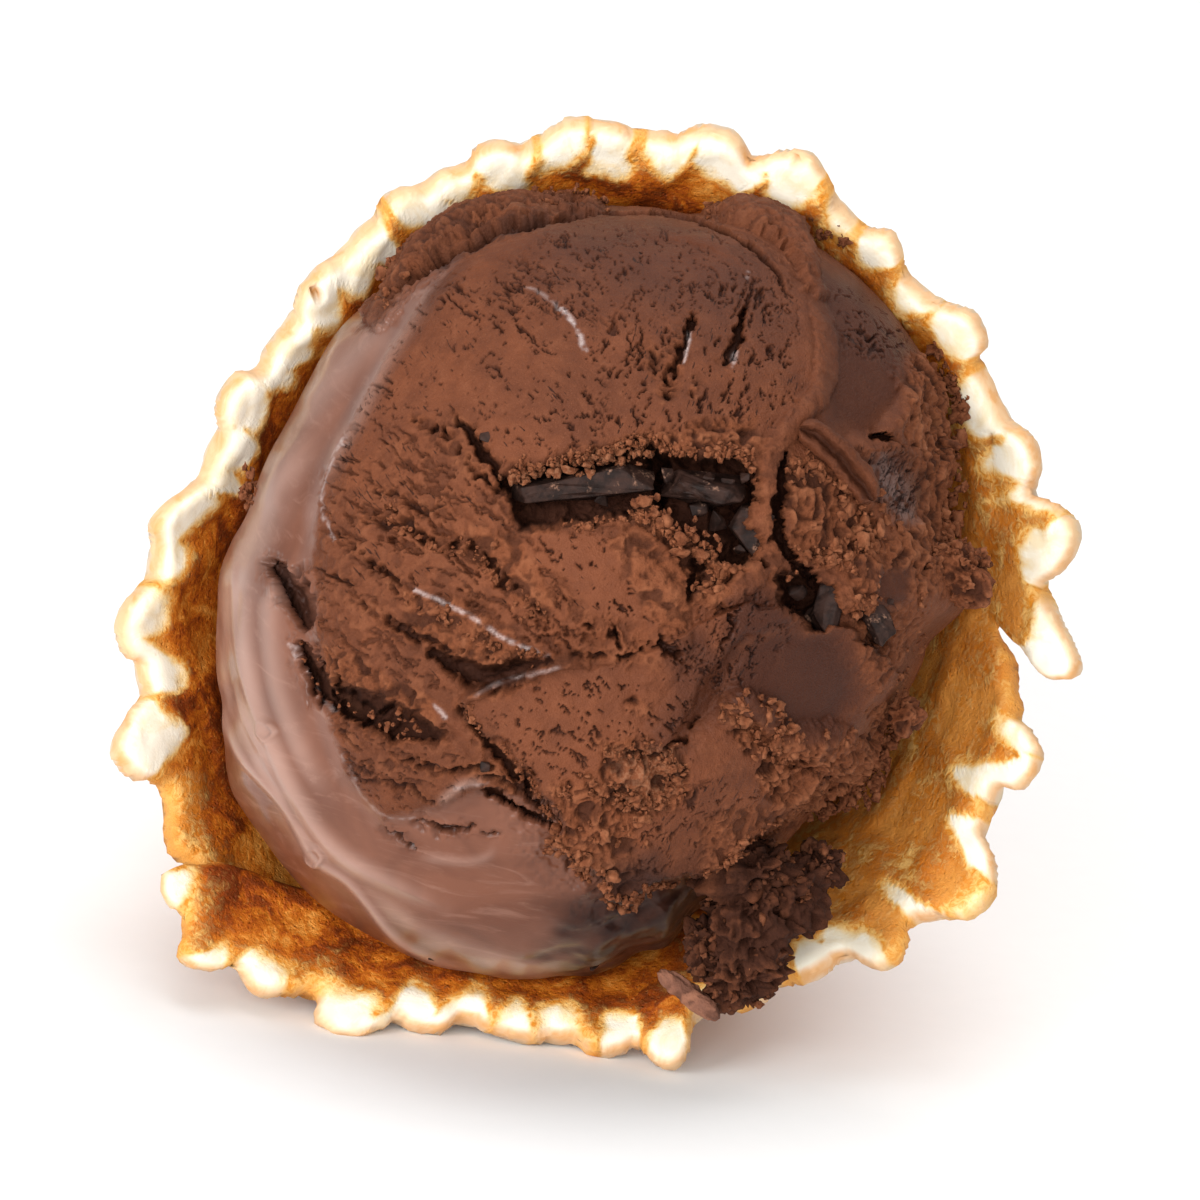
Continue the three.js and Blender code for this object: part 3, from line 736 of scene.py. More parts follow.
# Colours of the waffle, from the photograph
waffleTones = {
    "toast": [
        (0.0, (0.70, 0.28, 0.05)),
        (0.3, (0.56, 0.16, 0.012)),
        (0.55, (0.44, 0.10, 0.005)),
        (0.8, (0.29, 0.052, 0.003)),
        (1.0, (0.15, 0.025, 0.002)),
    ],
    "goldSpeck": (0.80, 0.42, 0.10),
    "darkSpeck": (0.20, 0.045, 0.003),
    "batter": ((0.86, 0.72, 0.48), (0.92, 0.85, 0.70)),
    "amber": ((0.66, 0.23, 0.015), (0.85, 0.50, 0.15)),
    "golden": (0.86, 0.60, 0.26),
    "edge": (0.70, 0.30, 0.05),
    "blister": (0.5, 0.2, 0.03),
    "paleOutside": (0.45, 0.19, 0.035),
    "outside": (0.72, 0.38, 0.11),
}


# Sizes of its grain in mm
waffleGrain = {"broad": 9, "patchy": 3.2, "fibres": 0.8, "speckle": 0.4, "pores": 0.7}


def waffleMaterial():
    tones = waffleTones
    material, wire, surface = newMaterial("bakedWaffle", {"Specular IOR Level": 0.2})
    pale = wire.attribute("pale")
    ribs = wire.attribute("ribs")
    rim = wire.attribute("rim")
    inside = wire.attribute("inside")
    near = wire.attribute("amber")
    blister = wire.attribute("blister")
    broad = wire.noise(waffleGrain["broad"], 3, 0.55, warp=0.6)
    patchy = wire.noise(waffleGrain["patchy"], 4, 0.6, warp=0.8)
    fibres = wire.noise(waffleGrain["fibres"], 4, 0.65, warp=1.0)
    speckle = wire.noise(waffleGrain["speckle"], 3, 0.7)
    # The sheet toasts in patches, more on the ribs of its outside
    outer = 1 - inside
    grid = ribs * (0.19 - inside * 0.09) * (0.6 + patchy * 0.8) - outer * 0.14
    toast = broad * 0.8 + patchy * 0.85 + fibres * 0.5 - 0.5 + grid - near * 0.12
    ramp = {"stops": tones["toast"]}
    crumb = wire.node("ShaderNodeValToRGB", ramp, {"Fac": toast.above(0.3, 0.8)})
    crumb = wire.mix(crumb, tones["goldSpeck"], speckle.above(0.57, 0.74) * 0.3)
    crumb = wire.mix(crumb, tones["darkSpeck"], speckle.above(0.42, 0.28) * 0.3)
    # Pale batter at the rim, through golden and amber where it meets the toasted sheet
    batter = wire.mix(*tones["batter"], patchy.above(0.3, 0.6))
    amber = wire.mix(*tones["amber"], fibres.above(0.35, 0.65))
    browning = pale + (patchy - 0.5) * 0.7 + (broad - 0.5) * 0.4 + (fibres - 0.5) * 0.3
    whole = wire.mix(crumb, amber, (browning + near * 0.4).above(0.15, 0.55))
    whole = wire.mix(whole, tones["golden"], browning.above(0.25, 0.6))
    whole = wire.mix(whole, batter, browning.above(0.42, 0.85))
    edgeLine = (1 - rim.above(0.05, 0.55)) * (patchy * 2.4 - 0.5).held()
    whole = wire.mix(whole, tones["edge"], edgeLine * 0.8)
    whole = wire.mix(whole, tones["blister"], blister * 0.9)
    whole = wire.mix(whole, tones["paleOutside"], outer * pale * 0.35)
    whole = wire.mix(whole, tones["outside"], outer * (1 - pale) * (0.34 - ribs * 0.18))
    rough = 0.5 + fibres * 0.2 - pale * 0.06
    height = (fibres * 0.6 + patchy * 0.5 + speckle * 0.5) * (1 - pale * 0.88)
    pores = wire.grains(waffleGrain["pores"]).above(0.0, 0.28)
    height = height + pores * 0.3 * (1 - pale * 0.85)
    feed(surface, {"Base Color": whole, "Roughness": rough, "Normal": wire.bump(height, 0.0005, 0.7)})
    return material


# The scoop: the same dome as in the CAD, by the radius of its outline
scoopRadii = [
    (0, 34.6), (12, 33.4), (22, 35.0), (35, 37.6), (50, 38.0), (65, 38.2), (78, 36.2),
    (90, 35.9), (100, 36.9), (115, 36.4), (130, 34.0), (150, 32.6), (165, 32.9), (180, 34.9),
    (195, 35.7), (210, 38.2), (225, 38.4), (240, 37.9), (255, 36.6), (268, 35.5), (280, 33.2),
    (292, 30.4), (315, 28.6), (335, 29.6), (350, 31.0), (360, 34.6),
]
scoop = {
    "middle": -4,
    "rise": 29,
    "depth": 31,
    "wallGap": 0.7,
    "undersideRings": 26,
    "straightFrom": 0.8,
    "straightFading": 1.6,
}
scrapedMass = {
    "outline": [
        (430, 290), (392, 352), (352, 425), (330, 466), (319, 505), (312, 560), (318, 640),
        (330, 725), (345, 772), (384, 819), (437, 806), (480, 790), (520, 796), (566, 800),
        (620, 850), (700, 858), (780, 840), (990, 800), (1050, 480), (990, 200), (595, 110),
    ],
    "height": 2.2,
    "blend": 34,
}
# The upper layer of melted cream: its edge runs down the left side
meltedLayer = {
    "outline": [
        (150, 560), (210, 650), (217, 697), (237, 754), (280, 804), (312, 858), (348, 883), (391, 936),
        (423, 958), (459, 972), (540, 990), (760, 1020), (1100, 900), (1100, 100), (150, 100),
    ],
    "height": 0.9,
    "blend": 8,
}
lowFacet = {
    "outline": [(800, 228), (862, 272), (905, 312), (930, 360), (905, 400), (876, 440), (846, 438),
                (822, 392), (818, 325), (812, 282)],
    "height": -2.2,
    "blend": 22,
}
flap = {
    "outline": [
        (464, 697), (492, 684), (528, 671), (562, 660), (590, 668), (640, 655), (690, 628),
        (740, 605), (800, 612), (880, 650), (915, 700), (914, 729), (896, 733), (881, 752),
        (880, 772), (864, 797), (824, 811), (789, 819), (746, 844), (731, 865), (703, 879),
        (650, 886), (632, 904), (606, 896), (606, 880), (592, 872), (576, 862), (556, 846),
        (560, 826), (540, 800), (528, 776), (508, 754), (476, 727),
    ],
    "flatness": 0.93,
    "upperHeight": 0.6,
    "lowerHeight": 1.9,
    "lowerFrom": -6,
    "lowerFading": 18,
    "ditch": 1.4,
    "ragged": [(5.0, 2.0), (4.0, 0.9), (2.5, 0.4)],
}


def outlineRadius(angle):
    return between(scoopRadii, np.mod(angle, 360))


def reachAt(x, y):
    return np.hypot(x, y) / outlineRadius(angleOf(x, y))


def domeHeight(reach):
    return scoop["middle"] + scoop["rise"] * np.sqrt(np.clip(1 - reach * reach, 0, 1))


# The largest radius that clears the cone's wall at a height in the cone
def roomAt(angle, w):
    along = w + mouthAlong
    low, high = np.full(w.shape, 20.0), np.full(w.shape, 185.0)
    for _ in range(22):
        middle = (low + high) / 2
        under = wallAt(middle)[1] < along
        low, high = np.where(under, middle, low), np.where(under, high, middle)
    onSheet = sheet["start"] + np.mod(angle - sheet["start"], 360)
    return sheetRadius(onSheet, low) - scoop["wallGap"]


def formHeight(x, y, form):
    inside = depthInside(x, y, form["outline"])
    return form["height"] * eased(inside / form["blend"] + 0.5)


# Cracks and torn grooves in the face: path in pixels, width in pixels, depth in mm, how ragged
cracks = [
    ([(412, 419), (448, 434), (469, 459), (486, 480), (505, 498)], 11, 1.9, 1.0),
    ([(376, 487), (398, 497), (419, 509), (446, 511)], 8, 1.1, 1.0),
    ([(359, 516), (401, 523), (430, 541), (469, 546), (505, 578), (541, 616)], 15, 1.5, 1.6),
    ([(337, 534), (376, 566), (405, 594)], 11, 1.5, 1.2),
    ([(316, 569), (332, 574), (349, 584)], 6, 0.9, 0.8),
    ([(359, 604), (387, 619), (412, 633), (455, 651), (494, 655)], 13, 1.6, 1.3),
    ([(432, 655), (462, 671), (490, 681), (520, 671), (552, 660)], 23, 3.4, 0.9),
    ([(270, 563), (284, 580), (297, 602), (304, 624)], 31, 3.6, 0.45),
    ([(300, 648), (314, 676), (340, 702), (368, 716)], 34, 4.0, 0.7),
    ([(340, 694), (376, 714), (404, 724), (434, 734)], 42, 3.6, 0.8),
    ([(463, 704), (473, 729), (500, 758), (524, 781), (534, 801), (553, 826)], 9, 2.0, 0.9),
    ([(384, 302), (430, 262), (480, 238), (530, 223), (594, 213)], 13, 3.0, 0.5),
    ([(600, 212), (660, 212), (706, 222), (750, 244), (776, 268), (790, 296)], 8, 1.4, 0.4),
    ([(394, 700), (391, 708), (372, 722), (358, 728)], 7, 2.2, 0.4),
    ([(394, 751), (437, 771), (484, 769), (534, 797), (559, 819)], 9, 1.2, 1.4),
    ([(337, 729), (359, 747)], 5, 0.8, 0.8),
    ([(380, 779), (404, 789), (434, 804)], 5, 0.8, 0.8),
    ([(384, 829), (400, 838), (416, 847)], 7, 1.0, 0.7),
    ([(419, 822), (445, 830), (473, 829)], 8, 1.1, 0.9),
    ([(480, 836), (498, 837)], 5, 0.8, 0.6),
    ([(484, 790), (512, 804), (535, 818), (556, 830)], 11, 2.6, 0.6),
    ([(585, 626), (604, 634), (622, 633)], 8, 1.8, 1.0),
    ([(606, 622), (616, 634), (620, 650)], 6, 1.6, 1.0),
    ([(556, 660), (590, 657), (620, 660), (653, 646), (676, 640)], 6, 1.2, 1.2),
    ([(742, 520), (754, 548), (768, 566)], 14, 3.0, 1.0),
    ([(662, 636), (672, 652), (690, 668)], 10, 1.5, 1.4),
    ([(717, 597), (728, 620), (730, 640), (721, 658)], 6, 1.1, 1.3),
    ([(690, 548), (702, 572), (692, 600)], 19, 3.6, 1.0),
    ([(786, 452), (783, 492), (780, 530), (792, 556), (814, 576)], 18, 4.2, 0.9),
    ([(871, 436), (888, 438), (903, 447)], 8, 2.6, 0.6),
    ([(929, 414), (932, 424), (928, 434)], 10, 1.8, 0.8),
    ([(692, 312), (682, 338), (674, 364), (666, 396)], 15, 2.4, 1.0),
    ([(747, 308), (740, 336), (724, 362)], 11, 2.3, 0.9),
    ([(652, 345), (654, 372)], 6, 0.9, 1.0),
    ([(700, 384), (694, 392)], 5, 0.8, 1.0),
    ([(862, 331), (868, 341), (876, 334)], 5, 0.8, 0.5),
    ([(666, 752), (690, 738), (700, 722)], 8, 1.2, 1.3),
    ([(456, 416), (476, 442), (490, 464), (503, 486)], 10, 2.6, 0.8),
    ([(626, 746), (646, 756), (676, 762)], 8, 1.0, 1.5),
    ([(590, 786), (612, 796), (640, 806)], 12, 1.1, 1.5),
    ([(632, 700), (650, 716), (668, 722)], 7, 0.8, 1.4),
]
# Places where the face is open: outline in pixels, depth in mm, width of the slope in pixels
openings = [
    ([(497, 482), (512, 468), (560, 460), (612, 446), (645, 434), (668, 444), (668, 500), (648, 516),
      (630, 520), (580, 524), (545, 527), (520, 529), (509, 503)], 5.0, 12),
    ([(645, 440), (667, 452), (700, 456), (735, 452), (755, 470), (757, 500), (750, 520), (762, 545),
      (746, 566), (728, 580), (712, 556), (694, 545), (672, 530), (655, 512)], 6.8, 12),
    ([(780, 577), (800, 567), (822, 575), (838, 590), (842, 616), (826, 630), (800, 620),
      (778, 600)], 7.2, 11),
    ([(862, 604), (880, 612), (892, 634), (886, 650), (872, 644), (862, 624)], 2.6, 9),
]
# The torn lip behind the dome, in pixels
lipBehind = [
    (358, 330), (372, 280), (400, 236), (455, 196), (545, 176), (620, 186), (620, 214),
    (545, 224), (480, 240), (430, 266), (396, 300), (380, 330),
]
# Folds and lips that stand up: path in pixels, width in pixels, height in mm, how ragged
folds = [
    ([(704, 204), (738, 212), (770, 226), (796, 248), (808, 272), (819, 293)], 12, 2.3, 0.7),
    ([(817, 294), (826, 340), (824, 384), (800, 416), (776, 446), (770, 490),
      (766, 534)], 13, 1.1, 0.5),
    ([(466, 699), (490, 686), (526, 673), (562, 663), (586, 666)], 9, 2.2, 0.5),
    ([(640, 232), (690, 236), (740, 256)], 7, 0.35, 0.4),
    ([(630, 560), (662, 600), (668, 640), (650, 690)], 24, 0.9, 0.3),
    ([(392, 280), (430, 240), (470, 216), (510, 203), (545, 195)], 12, 1.6, 1.4),
    ([(470, 240), (505, 222), (545, 208)], 8, 0.9, 0.4),
    ([(545, 196), (580, 200), (600, 207)], 9, 1.2, 1.2),
    ([(398, 300), (380, 318), (366, 300)], 12, 0.7, 1.0),
    ([(866, 456), (896, 450), (924, 462)], 9, 0.7, 0.9),
    ([(936, 350), (944, 380), (952, 430), (950, 480)], 16, 0.9, 1.3),
    ([(896, 362), (912, 388), (905, 420)], 13, 0.6, 1.4),
    ([(310, 622), (330, 640), (352, 660)], 7, 0.5, 0.3),
    ([(728, 714), (744, 706), (766, 716), (778, 736)], 17, 1.5, 1.3),
    ([(778, 752), (806, 744), (836, 742), (862, 752)], 20, 1.5, 1.1),
    ([(830, 770), (862, 762), (880, 742)], 15, 1.1, 1.1),
    ([(668, 498), (690, 520), (712, 540), (722, 566)], 18, 1.2, 1.5),
    ([(572, 528), (600, 524), (636, 518), (650, 506)], 8, 0.7, 1.5),
    ([(716, 600), (742, 584), (766, 566), (776, 552)], 14, 1.0, 1.0),
    ([(840, 560), (862, 566), (870, 590), (856, 604)], 12, 0.9, 1.2),
]
# Soft folds of the melted rim of the scoop, each with a pale painted highlight along it: path in pixels,
# width in pixels, height in mm
meltedFolds = [
    ([(217, 640), (220, 697), (240, 754), (283, 804), (315, 858), (350, 883), (392, 934), (424, 956),
      (462, 968), (510, 974)], 5, 0.35),
    ([(230, 520), (226, 580), (229, 640), (244, 700), (268, 760), (304, 826)], 9, 0.12),
    ([(240, 500), (234, 570), (238, 640), (256, 706), (284, 772), (322, 836), (346, 862)], 4, 0.16),
    ([(229, 660), (243, 714), (268, 766), (290, 800)], 3.4, 0.12),
    ([(336, 846), (374, 872), (420, 896), (446, 908)], 4, 0.14),
    ([(262, 720), (270, 724), (276, 732), (270, 740), (262, 734), (262, 722)], 3, 0.3),
    ([(307, 850), (316, 848), (323, 857), (316, 865), (308, 860), (307, 851)], 3, 0.3),
    ([(250, 560), (246, 640), (262, 720), (298, 800), (334, 850), (400, 888), (446, 908)], 9, 0.35),
    ([(300, 560), (272, 600), (276, 680), (300, 752), (330, 800)], 10, 0.22),
    ([(404, 318), (360, 356), (320, 398), (296, 440)], 14, 0.14),
    ([(430, 294), (392, 352), (362, 412), (338, 452), (322, 498)], 7, 0.16),
    ([(416, 856), (460, 862), (486, 858), (496, 844)], 5, 0.13),
    ([(437, 806), (462, 786), (486, 783)], 5, 0.24),
]
# Crumbly ground: outline in pixels, roughness in mm
crumbly = [
    ([(324, 470), (420, 430), (500, 500), (620, 640), (560, 660), (440, 720), (330, 700),
      (312, 600)], 0.2),
    ([(345, 740), (440, 730), (540, 800), (480, 790), (400, 815)], 0.16),
    ([(700, 424), (752, 420), (762, 450), (740, 462), (700, 458), (664, 448), (640, 440)], 0.7),
    ([(654, 500), (690, 505), (724, 550), (730, 590), (700, 604), (680, 570), (655, 540)], 1.1),
    ([(610, 540), (650, 520), (680, 560), (690, 620), (664, 640), (636, 590)], 0.55),
    ([(792, 452), (830, 470), (866, 500), (880, 530), (872, 566), (830, 566), (800, 552),
      (790, 500)], 0.8),
    ([(896, 362), (944, 340), (960, 420), (958, 520), (940, 590), (900, 600), (860, 600), (850, 560),
      (900, 540), (925, 500), (912, 440)], 0.75),
    ([(850, 556), (900, 556), (930, 590), (912, 640), (884, 690), (862, 690), (858, 640),
      (846, 600)], 0.45),
    ([(600, 744), (682, 740), (690, 786), (672, 812), (612, 812)], 0.9),
    ([(556, 786), (650, 786), (640, 830), (600, 856), (556, 846)], 0.85),
    ([(556, 846), (632, 830), (646, 886), (632, 906), (600, 900), (570, 872)], 0.6),
    ([(720, 700), (786, 704), (788, 746), (744, 748)], 1.1),
    ([(768, 744), (880, 738), (884, 780), (830, 812), (780, 806), (760, 776)], 1.3),
    ([(868, 712), (918, 694), (920, 736), (884, 756)], 1.0),
    ([(700, 820), (800, 800), (800, 822), (740, 866), (704, 882)], 0.45),
    ([(380, 322), (400, 250), (452, 212), (540, 190), (600, 196), (600, 216), (540, 226), (450, 262),
      (404, 300)], 0.42),
    ([(700, 204), (760, 206), (800, 250), (818, 292), (800, 290), (770, 246), (706, 226)], 0.3),
    ([(470, 520), (520, 536), (556, 600), (540, 624), (500, 590), (460, 552)], 0.55),
    ([(404, 590), (460, 604), (540, 650), (520, 676), (460, 664), (404, 626)], 0.6),
    ([(290, 640), (340, 650), (430, 700), (440, 744), (380, 742), (320, 706)], 0.75),
    ([(266, 560), (312, 566), (312, 626), (280, 604)], 0.6),
    ([(560, 602), (700, 640), (690, 672), (600, 664)], 0.35),
    ([(750, 436), (792, 440), (800, 470), (786, 540), (756, 546)], 0.35),
]
# Rows of torn pits: outline in pixels, slope, length and width in mm, threshold, depth in mm
draggedDents = [
    ([(410, 290), (520, 262), (606, 330), (600, 450), (500, 470), (430, 410), (350, 440),
      (380, 360)], -38, 1.1, 0.26, 0.66, 0.5),
    ([(325, 480), (345, 440), (420, 430), (500, 500), (600, 640), (560, 655), (440, 640),
      (330, 570)], -33, 2.1, 0.42, 0.4, 0.8),
    ([(312, 570), (440, 630), (500, 660), (470, 690), (430, 700), (340, 660),
      (305, 620)], -30, 1.8, 0.4, 0.5, 0.7),
    ([(325, 715), (400, 735), (470, 740), (560, 830), (480, 790), (430, 806), (384, 818),
      (345, 770)], -16, 1.5, 0.24, 0.5, 0.55),
    ([(600, 340), (640, 290), (790, 280), (800, 400), (760, 440), (600, 450)], 78, 1.3, 0.3, 0.6, 0.6),
    ([(560, 230), (760, 240), (790, 300), (600, 320), (480, 300)], -50, 0.6, 0.2, 0.66, 0.35),
    ([(840, 290), (900, 320), (910, 360), (850, 350)], -40, 0.6, 0.26, 0.55, 0.4),
    ([(480, 540), (640, 530), (700, 660), (600, 660)], -52, 1.1, 0.26, 0.72, 0.55),
    ([(480, 700), (600, 670), (700, 640), (690, 760), (600, 790),
      (540, 790)], -38, 1.1, 0.26, 0.74, 0.5),
    ([(862, 452), (894, 444), (930, 470), (926, 522), (890, 516)], 74, 1.5, 0.2, 0.34, 0.45),
    ([(330, 500), (400, 480), (520, 560), (600, 640), (540, 662), (440, 640),
      (350, 590)], -33, 2.6, 0.9, 0.5, 1.3),
    ([(400, 600), (470, 600), (560, 650), (520, 680), (430, 650)], -28, 1.6, 0.8, 0.35, 1.2),
    ([(300, 640), (420, 690), (450, 740), (370, 745), (310, 700)], -35, 1.4, 0.8, 0.3, 1.2),
    ([(600, 830), (720, 780), (800, 800), (720, 880), (640, 900)], 40, 1.2, 0.24, 0.6, 0.4),
    ([(700, 600), (760, 590), (790, 640), (740, 700), (700, 690)], 70, 0.9, 0.24, 0.62, 0.4),
]
# Smooth scraped planes with more sheen, darker for their smoothness and with painted shade where
# they turn from the light: outline in pixels, height in mm, fading in pixels, sheen and shade
planes = [
    ([(752, 640), (800, 628), (852, 636), (868, 690), (844, 744), (780, 744), (730, 716), (700, 728),
      (726, 690)], -0.9, 34, 1),
    ([(724, 597), (760, 584), (786, 604), (800, 630), (760, 640), (720, 664)], 0.2, 26, 1),
    ([(864, 458), (892, 448), (918, 462), (932, 492), (916, 522), (894, 512),
      (880, 494)], -0.5, 22, 0.7),
    ([(868, 570), (916, 566), (912, 604), (880, 616)], -0.3, 14, 1),
    ([(812, 262), (862, 284), (914, 344), (896, 400), (866, 432), (830, 420),
      (824, 330)], 0.0, 26, 0.85),
    ([(560, 216), (700, 222), (776, 256), (800, 320), (790, 380), (700, 330), (620, 300),
      (500, 262)], 0.0, 90, 0.66),
    ([(660, 640), (700, 630), (730, 660), (700, 720), (664, 760), (640, 750),
      (670, 690)], 0.2, 26, 0.8),
    ([(750, 640), (732, 690), (704, 730), (684, 760), (672, 748), (694, 704),
      (720, 660)], -1.1, 18, 0.8),
]


def inBox(x, y, path, margin):
    spots = np.array(path, float)
    low, high = spots.min(0) - margin, spots.max(0) + margin
    return (x > low[0]) & (x < high[0]) & (y > low[1]) & (y < high[1])


# Layers of unevenness that make the edges of torn places ragged: reach in pixels and size in mm
raggedLayers = [(4.5, 1.5), (3.4, 0.6), (2.0, 0.3)]
# How softly each kind of place runs out at its edge, in pixels
softness = {"scraped": 9, "lip": 10, "crumbly": 14, "torn": 20, "crack": 9, "pits": 24}
# How crumbly the edges of openings, cracks and folds are
edgeCrumbs = {"opening": 0.8, "crack": 0.42, "fold": 0.3}
# The rubble of crumbly ground, the grain of the whole face and its broad waves: heights and sizes in mm
faceGrain = {
    "rubbleSize": 1.5,
    "stones": 0.85,
    "lumps": (0.3, 3.0),
    "grain": (0.05, 0.55),
    "fineGrain": (0.03, 0.3),
    "smooth": (0.1, 5),
    "waves": (0.22, 9),
}


def raggedness(places, seed):
    return sum(
        reach * noise(places, size, seed + 2 * layer) for layer, (reach, size) in enumerate(raggedLayers)
    )


def atLeast(values, spots, least):
    values[spots] = np.maximum(values[spots], least)


# How strong a line is along its length: nothing at its ends, from 0 to 1
def taperAlong(along, margin=0.02):
    return np.sin(np.pi * np.clip(along, margin, 1 - margin))


# What the scoop's face does at each place: how far it stands out, and its finish, which carries painted
# light and shade too
def creamRelief(px, py, places, onFlap):
    count = len(px)
    out, crumb = np.zeros(count), np.zeros(count)
    finish = {name: np.zeros(count) for name in creamFinishes}
    wobble = 1 + 0.35 * noise(places, 2.2, 51) + 0.25 * noise(places, 0.9, 52)
    jitterX, jitterY = raggedness(places, 53), raggedness(places, 54)
    raggedX, raggedY = px + jitterX, py + jitterY
    broken = eased(0.62 + 1.5 * noise(places, 0.85, 59) + 0.7 * noise(places, 0.4, 60))

    def insideOf(outline, spots=slice(None), share=1.0):
        x, y = px[spots] + jitterX[spots] * share, py[spots] + jitterY[spots] * share
        return depthInside(x, y, outline)

    def nearLine(path, width, ragged):
        spots = inBox(px, py, path, width + 24)
        x = px[spots] + (raggedX[spots] - px[spots]) * ragged
        y = py[spots] + (raggedY[spots] - py[spots]) * ragged
        return spots, *pathDistance(x, y, smoothPath(path, 4))

    def grainOf(kind, seed):
        height, size = faceGrain[kind]
        return height * noise(places, size, seed)

    # The melted skin is all that lies outside the scraped mass, the lip behind it and the flap
    melt = 1 - eased(insideOf(scrapedMass["outline"], share=0.4) / softness["scraped"] + 0.5)
    onLip = eased(insideOf(lipBehind) / softness["lip"] + 0.5)
    finish["melt"] = melt * (1 - onLip) * (1 - eased(onFlap / 3))
    for outline, amount in crumbly:
        spots = inBox(px, py, outline, 30)
        atLeast(crumb, spots, amount * eased(insideOf(outline, spots) / softness["crumbly"] + 0.6))
    # Openings, cracks and torn pits are darkened inside with painted shade
    for outline, depth, slope in openings:
        spots = inBox(px, py, outline, 40)
        inside = insideOf(outline, spots)
        share = eased(inside / slope + 0.35)
        out[spots] -= depth * share
        atLeast(finish["hollow"], spots, share)
        atLeast(crumb, spots, edgeCrumbs["opening"] * eased(inside / softness["torn"] + 0.7))
    # Cracks narrow towards their ends, and the most ragged ones are broken up on the way
    for path, width, depth, ragged in cracks:
        spots, away, along = nearLine(path, width, ragged)
        taper = np.sqrt(np.clip(taperAlong(along), 0, 1))
        half = width / 2 * (0.35 + 0.65 * taper) * np.clip(wobble[spots], 0.3, 1.8)
        share = 1 - eased((away / half - 0.45) / 0.6)
        if ragged >= 1:
            share = share * broken[spots]
        out[spots] -= depth * share * (0.4 + 0.6 * taper)
        atLeast(finish["hollow"], spots, share)
        near = 1 - eased((away - half) / softness["crack"])
        atLeast(crumb, spots, edgeCrumbs["crack"] * near * min(1, ragged))
    for path, width, height, ragged in folds:
        spots, away, along = nearLine(path, width, ragged)
        taper = np.sqrt(np.clip(taperAlong(along, 0.03), 0, 1))
        share = np.clip(1 - (away / (width * (0.5 + 0.5 * taper))) ** 2, 0, 1)
        out[spots] += height * np.sqrt(share) * taper * (0.8 + 0.2 * wobble[spots])
        atLeast(crumb, spots, edgeCrumbs["fold"] * ragged * eased(share * 1.5))
    for path, width, height in meltedFolds:
        spots = inBox(px, py, path, width * 3)
        away, along = pathDistance(px[spots], py[spots], smoothPath(path, 6))
        share = np.exp(-((away / width) ** 2)) * np.clip(taperAlong(along) * 1.6, 0, 1)
        out[spots] += height * share
        # A painted highlight along each fold
        atLeast(finish["milk"], spots, share * min(1, height * 2.2))
    # Scraped planes wipe the crumbs away, and get sheen and painted shade
    for outline, height, fading, sheen in planes:
        spots = inBox(px, py, outline, fading)
        share = eased(insideOf(outline, spots, 0.5) / fading + 0.5)
        out[spots] += height * share
        atLeast(finish["sheen"], spots, share * sheen)
        crumb[spots] *= 1 - 0.9 * share
    # Torn pits come only where the cream is neither melted nor crumbly
    calm = (1 - finish["melt"]) * (1 - np.clip(crumb * 2, 0, 1))
    mm = view["mmPerPixel"]
    for seed, (outline, slope, length, width, threshold, depth) in enumerate(draggedDents):
        spots = inBox(px, py, outline, 20)
        x, y = px[spots], py[spots]
        zone = eased(depthInside(x, y, outline) / softness["pits"] + 0.6) * calm[spots]
        dent = zone * tornPits(x * mm, -y * mm, slope, length, width, threshold, 700 + 9 * seed)
        direction = "upright" if slope > 0 else "strata"
        atLeast(finish[direction], spots, zone * np.clip((0.82 - threshold) * 2.4, 0, 1))
        out[spots] -= depth * dent
        atLeast(finish["hollow"], spots, dent * 0.85)
    # Crumbly ground, with painted shade in its pits and painted light on its high stones, then the fine
    # grain of the whole face and its broad waves
    stones, pits = rubble(places, faceGrain["rubbleSize"], 31)
    out += crumb * (faceGrain["stones"] * stones + grainOf("lumps", 33))
    finish["hollow"] = np.maximum(finish["hollow"], np.clip(crumb * 1.5, 0, 1) * pits * 0.85)
    finish["crest"] = np.clip(crumb * 1.4, 0, 1) * np.clip(stones * 1.6, 0, 1)
    finish["crumb"] = np.clip(crumb * 1.6, 0, 1)
    grain = grainOf("grain", 34) + grainOf("fineGrain", 35)
    smooth = np.maximum(finish["melt"], finish["sheen"] * 0.7)
    out += grain * (1 - smooth) + smooth * grainOf("smooth", 38)
    waveHeight, waveSize = faceGrain["waves"]
    out += waveHeight * layeredNoise(places, waveSize, 36, 2)
    return out, finish


creamFinishes = [
    "melt", "crumb", "hollow", "crest", "light", "sheen",
    "milk", "frost", "wet", "tan", "strata", "upright",
]
# Painted light: ground made lighter where it faces the light, in pixels
litGround = [
    [(470, 530), (560, 530), (650, 560), (660, 650), (560, 655), (480, 600)],
    [(480, 700), (580, 670), (680, 680), (700, 780), (660, 860), (600, 850), (540, 780)],
]
# The tan crumbs at the left of the flap, the greyer cream at the upper left and a wet line, in pixels
tanGround = [(606, 748), (680, 746), (684, 786), (660, 812), (612, 806)]
greyGround = [(372, 372), (300, 420), (330, 330), (420, 280), (470, 262), (440, 300), (400, 330)]
wetSliver = {"path": [(438, 264), (462, 249), (490, 236), (520, 226), (546, 219)], "width": 11}
